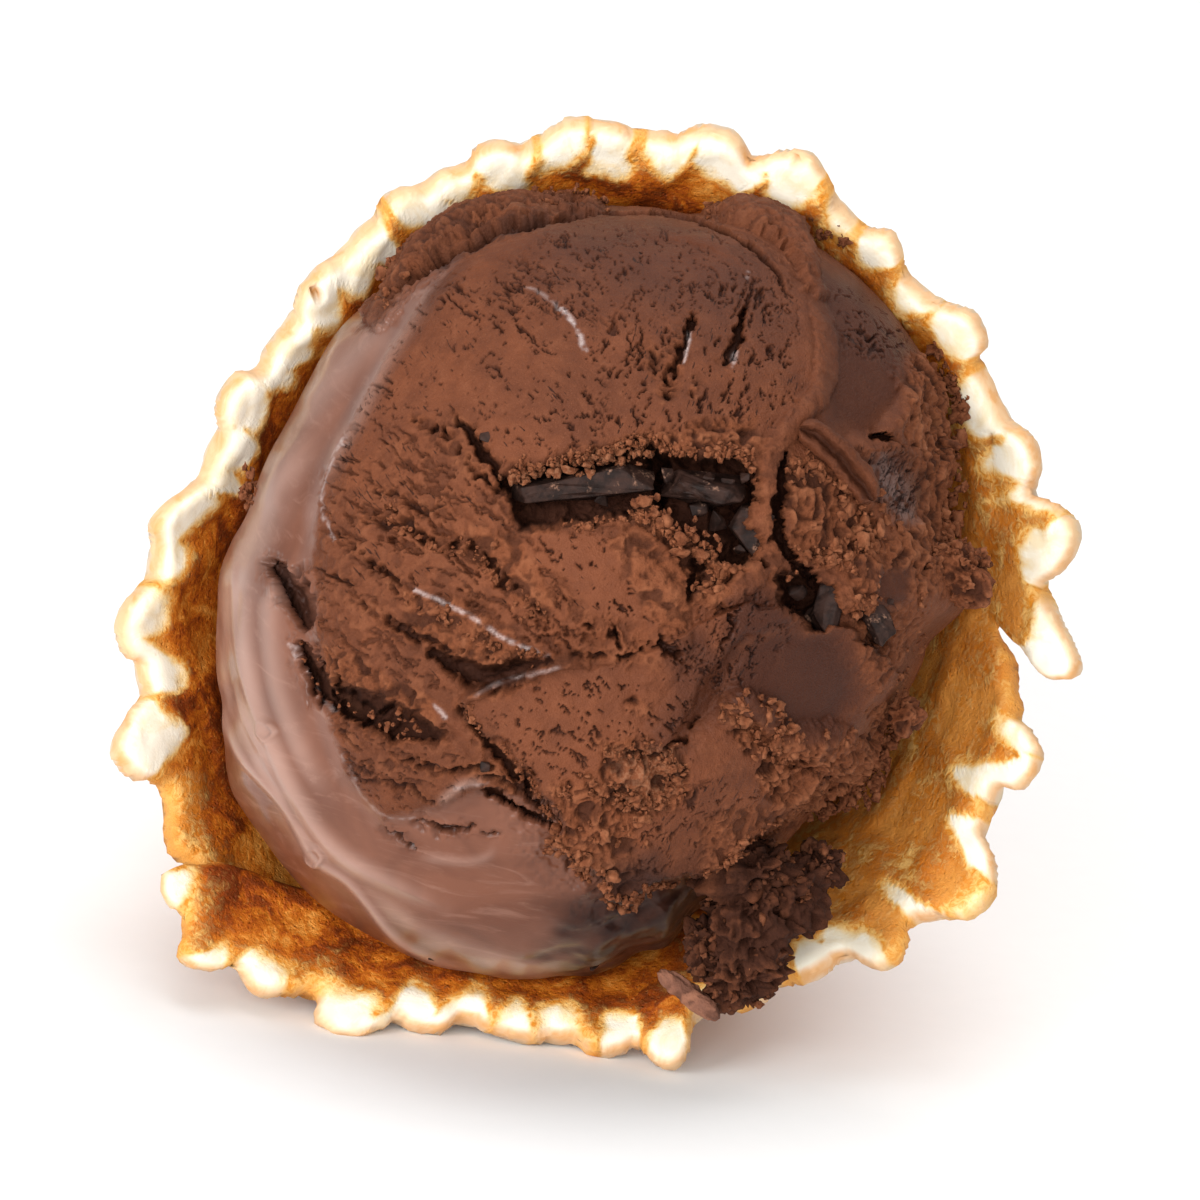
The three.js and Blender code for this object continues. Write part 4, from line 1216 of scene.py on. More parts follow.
# Lines of frost and cream: path in pixels, width in pixels, strength
frostLines = [
    ([(556, 304), (570, 318), (580, 334), (584, 350)], 4.5, 0.9),
    ([(521, 284), (540, 292), (556, 304)], 3, 0.35),
    ([(690, 328), (690, 344), (684, 362)], 3, 0.9),
    ([(737, 352), (733, 366)], 3.4, 0.8),
    ([(414, 590), (424, 594), (436, 600), (462, 612), (486, 626), (500, 636), (520, 646),
      (548, 656)], 3.6, 0.75),
    ([(434, 706), (446, 718)], 4, 0.6),
    ([(746, 268), (750, 276)], 3, 0.3),
    ([(884, 466), (898, 486), (908, 512)], 24, 0.2),
    # A painted highlight along the lit upper edge of the flap
    ([(472, 697), (492, 687), (528, 675), (562, 666)], 3.4, 0.4),
    ([(344, 438), (334, 456), (326, 480), (322, 508), (332, 540)], 2.6, 0.55),
    ([(290, 644), (302, 668), (318, 694), (330, 712)], 2.6, 0.5),
    ([(456, 788), (470, 786), (486, 784)], 3, 0.4),
    ([(340, 756), (360, 794), (388, 818), (418, 818)], 2.4, 0.3),
]

# Broad veils of milky melt and painted reflection down the left side and along the bottom: path in
# pixels, width in pixels, strength
milkyReflectionVeils = [
    ([(316, 410), (282, 470), (250, 548), (234, 630), (244, 700), (274, 770), (310, 822)], 17, 0.7),
    ([(236, 560), (226, 640), (238, 716), (268, 780), (306, 838), (350, 880)], 9, 0.7),
    ([(420, 290), (372, 340), (332, 392)], 16, 0.12),
    ([(350, 880), (400, 916), (440, 940), (500, 962), (560, 972), (606, 968)], 8, 0.6),
]

# The dark melted place under the flap, with painted shadow where the flap shades it: outline in pixels,
# and its relief in mm
darkMeltAndShadow = {
    "outline": [
        (560, 905), (620, 884), (700, 872), (760, 900), (700, 960), (640, 985), (600, 994),
        (562, 984), (548, 950), (572, 930),
    ],
    "fading": 60,
    "patches": (0.4, 2.6),
    "relief": (0.45, 3.0),
}

# Rows and columns of the face's grid
faceColumns = {"shown": 700, "quick": 300}


def scoopFace(count):
    side = np.linspace(-1, 1, count)
    gridX, gridY = np.meshgrid(side, side)
    diskX = (gridX * np.sqrt(1 - gridY**2 / 2)).ravel()
    diskY = (gridY * np.sqrt(1 - gridX**2 / 2)).ravel()
    share = np.clip(np.hypot(diskX, diskY), 0, 1)
    angle = angleOf(diskX, diskY)
    turn = np.radians(angle)
    seen = outlineRadius(angle) * np.sin(share * math.pi / 2)
    return seen * np.cos(turn), seen * np.sin(turn), angle


def faceShape(x, y):
    px = x / view["mmPerPixel"] + view["middleX"]
    py = view["middleY"] - y / view["mmPerPixel"]
    reach = reachAt(x, y)
    fade = eased((1 - reach) * 8)
    height = domeHeight(reach)
    forms = (scrapedMass, lowFacet, meltedLayer)
    height = height + fade * (sum(formHeight(px, py, form) for form in forms) - meltedLayer["height"])
    # The flap stands clear along its lower edge and runs into the face along its upper edge
    places = asPoints(x, y)
    ragged = sum(
        shift * noise(places, size, 61 + layer) for layer, (shift, size) in enumerate(flap["ragged"])
    )
    inside = depthInside(px + ragged, py - ragged * 0.7, flap["outline"])
    lower = eased((flap["lowerFrom"] - y) / flap["lowerFading"])
    top = domeHeight(flap["flatness"] * reach) + scrapedMass["height"]
    top += blendTo(flap["upperHeight"], flap["lowerHeight"], lower)
    under = height - flap["ditch"] * fade * lower * eased(1 + inside / 46)
    height = blendTo(under, np.maximum(height, top), eased((inside + 2) / 4) * eased(fade * 1.5))
    return px, py, height, fade, inside


def unseen(x, y, w):
    scale = 1 - w / view["eyeDistance"]
    return asPoints(x * scale, y * scale, w)


def surfaceNormals(points, count):
    grid = points.reshape(count, count, 3)
    across = np.gradient(grid, axis=1)
    along = np.gradient(grid, axis=0)
    normal = np.cross(across, along).reshape(-1, 3)
    return normal / np.maximum(np.linalg.norm(normal, axis=1, keepdims=True), 1e-9)


# Frost, milky melt with painted reflection, wet melt with painted shadow, painted light, tan and grey
# places on the face
def addColours(px, py, places, finish):
    def insideOf(outline):
        return depthInside(px, py, outline)

    for path, width, strength in frostLines:
        spots = inBox(px, py, path, 14)
        x = px[spots] + 2 * noise(places[spots], 0.7, 91)
        away, _ = pathDistance(x, py[spots], smoothPath(path, 4))
        uneven = eased(0.8 + 1.2 * noise(places[spots], 0.5, 92))
        atLeast(finish["frost"], spots, strength * (1 - eased(away / width)) * uneven)
    for path, width, strength in milkyReflectionVeils:
        spots = inBox(px, py, path, width * 2)
        x = px[spots] + 5 * noise(places[spots], 3.0, 93)
        away, along = pathDistance(x, py[spots], smoothPath(path, 6))
        veil = strength * np.exp(-((away / width) ** 2)) * np.clip(taperAlong(along) * 1.8, 0, 1)
        veil = np.clip(veil * (0.75 + 0.5 * noise(places[spots], 4.0, 94)), 0, 1)
        atLeast(finish["milk"], spots, veil * finish["melt"][spots])
    everywhere = slice(None)
    onLip = depthInside(px + 4 * noise(places, 1.6, 95), py, lipBehind)
    uneven = eased(0.7 + noise(places, 2.0, 96))
    atLeast(finish["wet"], everywhere, 0.26 * eased(onLip / 12 + 0.5) * uneven)
    away, _ = pathDistance(px, py, smoothPath(wetSliver["path"], 4))
    atLeast(finish["wet"], everywhere, 1 - eased(away / wetSliver["width"]))
    # Painted light on the ground that faces the light
    for outline in litGround:
        atLeast(finish["light"], everywhere, eased(insideOf(outline) / 60 + 0.5))
    finish["tan"] = eased(insideOf(tanGround) / 12 + 0.4)
    atLeast(finish["sheen"], everywhere, 0.5 * eased(insideOf(greyGround) / 20 + 0.5))


def addScoopBody(build):
    count = faceColumns["shown"]
    x, y, angle = scoopFace(count)
    px, py, height, fade, onFlap = faceShape(x, y)
    outward = surfaceNormals(unseen(x, y, domeHeight(reachAt(x, y))), count)
    rimmed = np.hypot(x, y) >= outlineRadius(angle) * 0.9999
    turn = np.radians(angle)
    flatOut = asPoints(np.cos(turn), np.sin(turn))
    outward = np.where(rimmed[:, None], flatOut, outward)
    places = unseen(x, y, height)
    out, finish = creamRelief(px, py, places, onFlap)
    # The dark melted place: wet melt, with painted shadow under the flap
    inDarkMelt = depthInside(px, py, darkMeltAndShadow["outline"])
    patchy, patchSize = darkMeltAndShadow["patches"]
    waveHeight, waveSize = darkMeltAndShadow["relief"]
    finish["wet"] = eased(inDarkMelt / darkMeltAndShadow["fading"] + 0.55 + patchy * noise(places, patchSize, 97))
    out += finish["wet"] * waveHeight * layeredNoise(places, waveSize, 98, 2)
    addColours(px, py, places, finish)
    # Deep places go straight in, and low ones follow the dome
    into = np.array([0, 0, 1.0])
    deep = eased((np.abs(out) - scoop["straightFrom"]) / scoop["straightFading"])
    steep = deep[:, None] * eased(fade)[:, None]
    heading = outward * (1 - steep) + into * steep
    points = keepInCone(places + heading * out[:, None])
    build.add(points, gridFaces(count, count), **finish)
    addUnderside(build, points, count)


# Nothing goes through the cone's wall
def keepInCone(points):
    angle = angleOf(points[:, 0], points[:, 1])
    radius = np.hypot(points[:, 0], points[:, 1])
    inCone = points[:, 2] < 3
    room = np.ones(len(points))
    clear = roomAt(angle[inCone], points[inCone, 2])
    room[inCone] = np.minimum(1, clear / np.maximum(radius[inCone], 1))
    points[:, :2] *= room[:, None]
    return points


def addUnderside(build, face, count):
    index = np.arange(count * count).reshape(count, count)
    loop = np.concatenate([index[0, :-1], index[:-1, -1], index[-1, :0:-1], index[:0:-1, 0]])
    start = face[loop]
    rings = scoop["undersideRings"]
    angle = angleOf(start[:, 0], start[:, 1])
    layers = [start]
    for ring in range(1, rings + 1):
        share = ring / rings
        w = scoop["middle"] - scoop["depth"] * math.sin(share * math.pi / 2)
        full = outlineRadius(angle) * math.cos(share * math.pi / 2) ** 0.8
        heights = np.full(len(angle), w)
        radius = np.minimum(full, roomAt(angle, heights))
        turn = np.radians(angle)
        ringPoints = asPoints(radius * np.cos(turn), radius * np.sin(turn), heights)
        nearby = math.exp(-share * 9)
        ringPoints[:, :2] = ringPoints[:, :2] * (1 - nearby) + start[:, :2] * nearby
        uneven = 0.5 * layeredNoise(ringPoints, 6, 81, 2) * min(1, share * 5)
        ringPoints[:, :2] *= np.minimum(1, 1 + (uneven - 0.4) / np.maximum(radius, 2))[:, None]
        layers.append(keepInCone(ringPoints))
    faces = tubeFaces(rings + 1, len(loop))[:, ::-1]
    build.add(np.vstack(layers), faces, melt=0.6, crumb=0.1)


# The points and faces of a bmesh, which is then let go
def taken(shape):
    points = np.array([tuple(v.co) for v in shape.verts])
    faces = np.array([[v.index for v in f.verts] for f in shape.faces])
    shape.free()
    return points, faces


def ballShape(detail):
    ball = bmesh.new()
    bmesh.ops.create_icosphere(ball, subdivisions=detail, radius=1)
    return taken(ball)


balls = {detail: ballShape(detail) for detail in (2, 3, 4, 5, 6)}


# Jagged crumbs, worked out once for each kind and set down many times
def jaggedShapes(detail, kinds, seed):
    points, faces = balls[detail]
    shapes = []
    for kind in range(kinds):
        shifted = points + 17.0 * (kind + 1) + seed
        push = 1 + 0.75 * noise(shifted, 1.1, seed + kind) + 0.6 * noise(shifted, 0.5, seed + 40 + kind)
        push += 0.3 * noise(shifted, 0.25, seed + 80 + kind)
        shapes.append((points * np.clip(push, 0.25, 2)[:, None], push))
    return shapes, faces


crumbShapes = {2: jaggedShapes(2, 16, 500), 3: jaggedShapes(3, 16, 600)}


def spun(points, draw):
    axis = draw.normal(0, 1, 3)
    turn = Matrix.Rotation(draw.random() * 6.28, 3, Vector(axis).normalized())
    return points @ np.array(turn)


def addCrumb(build, at, size, draw, **finish):
    shapes, faces = crumbShapes[3 if size > 0.75 else 2]
    shape, push = shapes[draw.integers(len(shapes))]
    half = size * (0.65 + 0.6 * draw.random(3))
    # Hollows of a crumb get painted shade and its bulges painted light
    finish.setdefault("hollow", np.clip(0.9 - push, 0, 1))
    finish.setdefault("crest", np.clip(push - 1.1, 0, 1) * 2)
    build.add(spun(shape, draw) * half + np.array(at), faces, **finish)


# Turned in the plane of the mouth
def turned(points, angle):
    cosine, sine = math.cos(angle), math.sin(angle)
    x, y, z = points.T
    return asPoints(x * cosine - y * sine, x * sine + y * cosine, z)


# A larger torn lump with its own rubble
def addLump(build, at, half, roughness, detail, seed, turn=0.0, stoneSize=1.5, **finish):
    points, faces = balls[detail]
    sized = points * np.array(half, float)
    shifted = sized + 7.3 * seed
    broad = 1 + 0.5 * noise(shifted, max(half) * 0.8, seed) * min(1, roughness)
    stones, pits = rubble(shifted, stoneSize, seed + 5)
    placed = sized * broad[:, None] + points * (stones * 0.372 * roughness * stoneSize)[:, None]
    # Its pits get painted shade, less on its stones, which get painted light
    crestLights = np.clip(stones * 1.6, 0, 1)
    dark = finish.get("hollow", 0) * (1 - 0.6 * crestLights)
    finish["hollow"] = np.clip(dark + 0.85 * pits * min(1, roughness), 0, 1)
    finish.setdefault("crest", crestLights)
    build.add(turned(placed, turn) + np.array(at), faces, **finish)


def surfacePoint(px, py, lift=0.0):
    x, y = fromPhoto((px, py))
    _, _, height, _, _ = faceShape(np.array([x]), np.array([y]))
    return unseen(np.array([x]), np.array([y]), height + lift)[0]


# Crumbs along a torn edge: path in pixels, count, spread in pixels, sizes in mm, lift in mm
crumbRows = [
    ([(558, 826), (552, 846), (578, 858), (584, 872), (606, 880), (608, 898), (630, 902),
      (648, 886)], 60, 7, (0.45, 1.15), 0.3),
    ([(648, 886), (703, 878), (731, 863), (746, 844), (789, 819),
      (824, 811)], 56, 6, (0.35, 0.85), 0.2),
    ([(824, 811), (864, 797), (881, 770), (882, 748), (896, 733), (914, 726)], 56, 8, (0.45, 1.2), 0.2),
    ([(466, 700), (476, 726), (509, 755), (528, 778), (540, 800), (556, 824)], 30, 5, (0.3, 0.7), 0.1),
    ([(515, 468), (560, 461), (612, 448), (645, 436), (668, 446)], 40, 6, (0.35, 0.8), 0.1),
    ([(668, 448), (700, 452), (735, 450), (752, 462)], 34, 8, (0.4, 0.95), 0.1),
    ([(649, 508), (664, 524), (690, 540), (714, 553), (724, 576), (708, 596)], 60, 14, (0.5, 1.4), 0.2),
    ([(572, 526), (610, 523), (640, 516)], 26, 5, (0.35, 0.8), 0.1),
    ([(796, 462), (830, 476), (862, 506), (872, 540), (846, 560),
      (806, 552)], 70, 18, (0.45, 1.2), 0.0),
    ([(840, 566), (866, 570), (872, 600), (856, 612)], 26, 9, (0.4, 1.0), 0.1),
    ([(728, 714), (748, 704), (772, 718), (780, 738), (756, 744)], 44, 12, (0.45, 1.15), 0.3),
    ([(774, 754), (806, 746), (838, 744), (866, 752), (862, 782),
      (820, 796)], 84, 15, (0.5, 1.35), 0.2),
    ([(940, 345), (950, 380), (956, 430), (956, 490), (950, 530),
      (940, 560)], 70, 11, (0.5, 1.3), -0.5),
    ([(925, 600), (915, 650), (900, 690), (890, 712)], 34, 9, (0.4, 1.0), -0.3),
    ([(560, 800), (600, 792), (640, 800), (630, 826), (590, 836)], 40, 14, (0.4, 1.0), 0.0),
    ([(610, 756), (650, 752), (676, 768), (664, 800), (622, 800)], 70, 12, (0.3, 0.75), 0.1),
    ([(380, 316), (398, 262), (440, 226), (500, 204), (560, 196), (600, 202)], 70, 10, (0.4, 1.1), 0.2),
    ([(706, 208), (740, 206), (790, 226), (846, 238)], 36, 7, (0.4, 0.95), 0.0),
    ([(408, 600), (450, 618), (500, 650), (540, 654)], 36, 9, (0.35, 0.8), -0.3),
    ([(300, 650), (330, 690), (380, 724), (424, 728)], 14, 12, (0.3, 0.8), -1.2),
    ([(380, 500), (430, 545), (480, 560), (520, 596), (540, 620)], 40, 12, (0.3, 0.75), -0.2),
    ([(252, 470), (247, 490), (250, 506)], 12, 6, (0.6, 1.2), -0.6),
]

# The dusty crumbs over the long piece of chocolate
dustyRow = {
    "path": [(512, 474), (540, 466), (580, 462), (616, 450), (640, 446)],
    "count": 190,
    "spread": 7,
    "size": 0.29,
}


# How the crumbs are drawn: share of the spread and of the size, how few are large, and their lift in mm
crumbDraw = {"spread": 0.55, "size": 0.46, "fewLarge": 2.6, "lift": 0.5, "sink": 0.1, "uneven": 0.2}


def makeCrumbs(material):
    build = Build(creamFinishes)
    draw = np.random.default_rng(17)
    for path, count, spread, (small, large), lift in crumbRows:
        line = smoothPath(path, 8)
        for _ in range(count * 2):
            start = line[draw.integers(len(line))]
            px, py = start + draw.normal(0, spread * crumbDraw["spread"], 2)
            larger = (large - small) * draw.random() ** crumbDraw["fewLarge"]
            height = lift * crumbDraw["lift"] - crumbDraw["sink"] + draw.normal(0, crumbDraw["uneven"])
            at, size = surfacePoint(px, py, height), crumbDraw["size"] * (small + larger)
            addCrumb(build, at, size, draw, crumb=1.0)
    line = smoothPath(dustyRow["path"], 8)
    for _ in range(dustyRow["count"]):
        px, py = line[draw.integers(len(line))] + draw.normal(0, dustyRow["spread"], 2)
        at = surfacePoint(px, py, -0.5 - 1.2 * draw.random())
        size = dustyRow["size"] * (0.3 + 1.3 * draw.random() ** 2)
        addCrumb(build, at, size, draw, crumb=1.0, tan=1.0)
    return build.finish("creamCrumbs", material)


# The crumbly piece that hangs over the lower rim: lumps by place in pixels, half sizes in mm,
# height out of the mouth in mm and detail
hangingPiece = {
    "core": [
        ((745, 912), (3.9, 5.2, 4.4), 8.4, 6),
        ((740, 968), (4.0, 4.0, 4.0), 8.0, 6),
        ((706, 950), (1.9, 2.6, 3.0), 8.2, 5),
        ((784, 900), (3.2, 4.2, 3.6), 7.2, 5),
        ((818, 866), (2.4, 2.2, 2.4), 5.6, 5),
        ((750, 868), (3.8, 2.8, 3.6), 9.2, 5),
    ],
    "roughness": 3.0,
    "stoneSize": 1.7,
    "crumbs": 60,
}


def anyHeading(draw):
    heading = draw.normal(0, 1, 3)
    return heading / np.linalg.norm(heading)


def addHangingPiece(build):
    piece = hangingPiece
    draw = np.random.default_rng(5)
    for seed, (pixel, half, w, detail) in enumerate(piece["core"], 300):
        at = unseen(*fromPhoto(pixel), w)
        shape = (half, piece["roughness"], detail, seed, 0, piece["stoneSize"])
        # The piece and its crumbs are painted dark all over: painted shadow under the flap
        addLump(build, at, *shape, crumb=1.0, crest=0.15, hollow=1.0)
        for _ in range(piece["crumbs"]):
            heading = anyHeading(draw)
            heading[2] = abs(heading[2])
            size = 0.16 + 0.36 * draw.random() ** 2
            spot = at + heading * np.array(half) * (0.86 + 0.14 * draw.random())
            addCrumb(build, spot, size, draw, crumb=1.0, hollow=0.2 + 0.8 * draw.random())


# Nubs at the scoop's right edge and the pale flake under the hanging piece: place in pixels, height
# in mm, then half sizes, roughness, detail, seed, turn and size of the stones
nubs = [
    ((958, 572), 4.4, ((3.0, 2.9, 2.5), 1.5, 6, 402, 0.2, 1.1), {"crumb": 1.0}),
    ((940, 586), 2.4, ((1.3, 1.1, 1.3), 1.2, 4, 403, 0.2, 1.0), {"crumb": 1.0}),
    ((953, 445), 1.0, ((1.2, 0.5, 0.6), 0.8, 3, 404, -0.3, 0.6), {"crumb": 1.0}),
    ((690, 990), 9.4, ((3.1, 1.0, 0.8), 0.55, 5, 405, -0.62, 1.5), {"crumb": 0.5, "milk": 0.2}),
]
lowNub = {"pixel": (900, 715), "height": 6.2, "shape": ((1.7, 1.6, 1.7), 1.2, 5, 401, 0.4, 1.2)}
nubCrumbs = {"count": 50, "reach": 2.8}


def addSmallPieces(build):
    at = surfacePoint(*lowNub["pixel"])
    at[2] = lowNub["height"]
    addLump(build, at, *lowNub["shape"], crumb=1.0)
    for pixel, height, shape, finish in nubs:
        addLump(build, (*fromPhoto(pixel), height), *shape, **finish)
    # The largest nub has crumbs of its own
    draw = np.random.default_rng(6)
    pixel, height = nubs[0][:2]
    middle = np.array([*fromPhoto(pixel), height])
    for _ in range(nubCrumbs["count"]):
        spot = middle + anyHeading(draw) * nubCrumbs["reach"] * (0.9 + 0.15 * draw.random())
        addCrumb(build, spot, 0.2 + 0.35 * draw.random() ** 2, draw, crumb=1.0)


# The curled tongue of cream that the scoop left behind: path in pixels and half sizes in mm
curl = {
    "path": [(800, 428), (822, 440), (848, 466), (874, 500)],
    "halfWidth": 1.6,
    "halfHeight": 1.55,
    "lift": 0.7,
    "sides": 40,
    "grooveWidth": 0.34,
    "grooveDepth": 1.1,
    "roughness": 0.2,
}


def addCurl(build):
    line = smoothPath(curl["path"], 14)
    sides = curl["sides"]
    turn = np.linspace(0, 2 * math.pi, sides, endpoint=False)
    groove = np.exp(-((np.cos(turn) / curl["grooveWidth"]) ** 2)) * (np.sin(turn) > 0)
    groove *= curl["grooveDepth"]
    rings = []
    for index, (px, py) in enumerate(line):
        share = index / (len(line) - 1)
        ahead = line[min(index + 1, len(line) - 1)] - line[max(index - 1, 0)]
        ahead = ahead / np.linalg.norm(ahead)
        taper = math.sqrt(max(0.02, 1 - (2 * share - 1) ** 6)) * (0.8 + 0.2 * share)
        out = asPoints(-ahead[1] * np.cos(turn), -ahead[0] * np.cos(turn))
        up = asPoints(0.0, 0.0, np.sin(turn) * (1 - groove))
        centre = surfacePoint(px, py, curl["lift"])
        rings.append(centre + taper * (curl["halfWidth"] * out + curl["halfHeight"] * up))
    points = np.vstack(rings)
    uneven = [layeredNoise(points + 40 * axis, 0.8, 130 + axis) for axis in range(3)]
    points += curl["roughness"] * np.stack(uneven, axis=-1)
    # The curl's groove gets painted shade
    dark = 0.6 * np.tile(np.clip(groove, 0, 1), len(line))
    build.add(points, tubeFaces(len(line), sides), crumb=0.35, sheen=0.5, hollow=dark)
    fan = np.array([[column, (column + 1) % sides, sides] for column in range(sides)])
    for end, faces in ((points[:sides], fan[:, ::-1]), (points[-sides:], fan)):
        build.add(np.vstack([end, end.mean(0)]), faces, crumb=0.25, sheen=0.5)


# Colours of the ice cream, from the photograph
creamTones = {
    "base": ((0.106, 0.030, 0.0115), (0.140, 0.040, 0.015)),
    "lightPatch": (0.185, 0.060, 0.026),
    "darkPatch": (0.075, 0.02, 0.008),
    "sand": (0.26, 0.10, 0.05),
    # Darker tone of smooth scraped planes, with painted shade where they turn from the light
    "scraped": (0.036, 0.008, 0.0028),
    "torn": ((0.125, 0.036, 0.013), (0.20, 0.062, 0.024)),
    # Painted light on the crests of crumbs and rubble
    "crest": (0.31, 0.115, 0.052),
    "skin": ((0.112, 0.037, 0.019), (0.165, 0.059, 0.032)),
    # Pale streaks and milky melt, partly painted reflection and highlight
    "streak": (0.29, 0.15, 0.108),
    "milk": (0.46, 0.295, 0.24),
    # Painted light on the ground that faces the light
    "light": (0.20, 0.058, 0.022),
    "tan": (0.25, 0.12, 0.065),
    # Wet melt and dark chocolate, darkened further as painted shadow under the flap
    "wet": (0.020, 0.0068, 0.0048),
    # Painted shade in openings, cracks, pits and under the flap
    "hollow": (0.016, 0.004, 0.002),
    "frost": (0.55, 0.46, 0.44),
    # Painted shade in the torn pits
    "pitShade": (0.020, 0.005, 0.002),
}
# Sizes of its grain in mm
creamGrain = {"broad": 7, "patchy": 1.6, "fine": 0.35, "sandy": 0.16, "streaks": 5, "crowding": 3.4}
# Rows of fine pits, torn along the way the scoop was pulled: slope, and length and width in mm
pitRows = {"strata": (-34, 1.7, 0.24), "upright": (76, 1.1, 0.2)}


def creamMaterial():
    tones = creamTones
    material, wire, surface = newMaterial(
        "chocolateCream", {"Specular IOR Level": 0.16, "Coat Roughness": 0.16, "Coat IOR": 1.4}
    )
    melt, crumb, hollow, crest, paintedLit, sheen, milk, frost, wet, tan, strata, upright = (
        wire.attribute(name) for name in creamFinishes
    )
    broad = wire.noise(creamGrain["broad"], 3, 0.5, warp=0.5)
    patchy = wire.noise(creamGrain["patchy"], 4, 0.6)
    fine = wire.noise(creamGrain["fine"], 3, 0.65)
    sandy = wire.noise(creamGrain["sandy"], 2, 0.6)
    # Firm cream, scraped or torn
    base = wire.mix(*tones["base"], broad.above(0.35, 0.65))
    base = wire.mix(base, tones["lightPatch"], patchy.above(0.5, 0.72) * 0.4)
    base = wire.mix(base, tones["darkPatch"], patchy.above(0.54, 0.3) * 0.35)
    base = wire.mix(base, tones["sand"], sandy.above(0.6, 0.75) * 0.35 * (1 - melt))
    # Scraped planes: darker for their smoothness, and painted shade where they turn from the light
    base = wire.mix(base, tones["scraped"], sheen * 0.82)
    torn = wire.mix(*tones["torn"], fine.above(0.35, 0.68))
    base = wire.mix(base, torn, crumb * 0.7)
    # Painted light on crests and high crumbs
    base = wire.mix(base, tones["crest"], crest * 0.48)
    # The melted skin round it, its pale streaks partly painted reflection
    skin = wire.mix(*tones["skin"], broad.above(0.3, 0.7))
    streaks = wire.noise(creamGrain["streaks"], 4, 0.6, stretch=(1.5, 1, 0.3), warp=1.2)
    skin = wire.mix(skin, tones["streak"], streaks.above(0.5, 0.78) * 0.42)
    base = wire.mix(base, skin, melt)
    # Milky melt, partly painted reflection and highlight
    base = wire.mix(base, tones["milk"], milk * 0.7)
    # Painted light where the ground faces the light
    base = wire.mix(base, tones["light"], paintedLit * 0.22)
    base = wire.mix(base, tones["tan"], tan * fine.above(0.45, 0.6) * 0.42)
    # Wet melt and dark chocolate, with painted shadow under the flap
    base = wire.mix(base, tones["wet"], wet * (0.5 + patchy * 0.8).held())
    # Painted shade in hollows, cracks and pits, and on the hanging piece
    base = wire.mix(base, tones["hollow"], hollow * 0.84)
    base = wire.mix(base, tones["frost"], frost * (fine * 1.6 - 0.2).held())
    crowded = (wire.noise(creamGrain["crowding"], 2, 0.5) - 0.5) * 0.3
    strataPits = (wire.drawn(*pitRows["strata"]) + crowded + strata * 0.16 - 0.15).above(0.6, 0.64)
    uprightPits = (wire.drawn(*pitRows["upright"]) + crowded + upright * 0.14 - 0.12).above(0.6, 0.64)
    pits = wire.maths(
        "MAXIMUM", strataPits * strata.above(0.02, 0.2), uprightPits * upright.above(0.02, 0.2)
    )
    # Torn pits painted near black: painted shade
    base = wire.mix(base, tones["pitShade"], pits * 0.8)
    rough = 0.58 - melt * 0.2 - sheen * 0.08 + crumb * 0.2 - wet * 0.08 + patchy * 0.08
    coat = melt * 0.5 * (1 - wet * 0.94) + wet * patchy.above(0.55, 0.7) * 0.08 + sheen * 0.06
    height = patchy * 0.3 * (1 - melt * 0.85) + (fine * 0.45 + sandy * 0.3) * (1 - melt * 0.92)
    height = height - pits * 2.2
    feed(
        surface,
        {
            "Base Color": base,
            "Roughness": rough.held(),
            "Coat Weight": coat.held() * (1 - crumb),
            "Normal": wire.bump(height, 0.00045, 0.75),
        },
    )
    return material


def makeScoop(material):
    build = Build(creamFinishes)
    addScoopBody(build)
    print("scoop face made")
    addCurl(build)
    addHangingPiece(build)
    addSmallPieces(build)
    return build.finish("creamScoop", material)


# Broken pieces of dark chocolate, as in the CAD: place in mm, sink, half sizes, turn in degrees
chunks = [
    {"at": (-1.2, 9.8), "sink": 3.6, "half": (6.2, 1.4, 2.7), "turn": 7},
    {"at": (9.9, 9.3), "sink": 3.4, "half": (3.6, 1.6, 2.6), "turn": -6},
    {"at": (13.8, 6), "sink": 3.2, "half": (1.7, 2.0, 2.4), "turn": -30},
    {"at": (21.2, -1), "sink": 4.2, "half": (1.4, 2.9, 2.6), "turn": -18},
    {"at": (25.6, -2.6), "sink": 1.4, "half": (1.2, 2.2, 2.6), "turn": 24},
]


# How a chunk is broken: spots it is drawn from, how square and how slanted it is, bevel and chips in mm
chunkShape = {
    "spots": 30,
    "squareness": 0.7,
    "slant": 0.35,
    "oversize": 1.08,
    "flatAngle": 0.2,
    "bevel": 0.12,
    "cuts": 3,
    "chips": ((0.3, 1.3), (0.12, 0.45)),
}


# The solid that closes round some spots, without those left inside
def hullRound(spots):
    shard = bmesh.new()
    for spot in spots:
        shard.verts.new(spot)
    hull = bmesh.ops.convex_hull(shard, input=shard.verts)
    loose = [v for v in hull["geom_interior"] if isinstance(v, bmesh.types.BMVert)]
    bmesh.ops.delete(shard, geom=loose, context="VERTS")
    return shard


def flatFaced(piece):
    sharp = np.zeros(len(piece.data.polygons), bool)
    piece.data.polygons.foreach_set("use_smooth", sharp)
    return piece


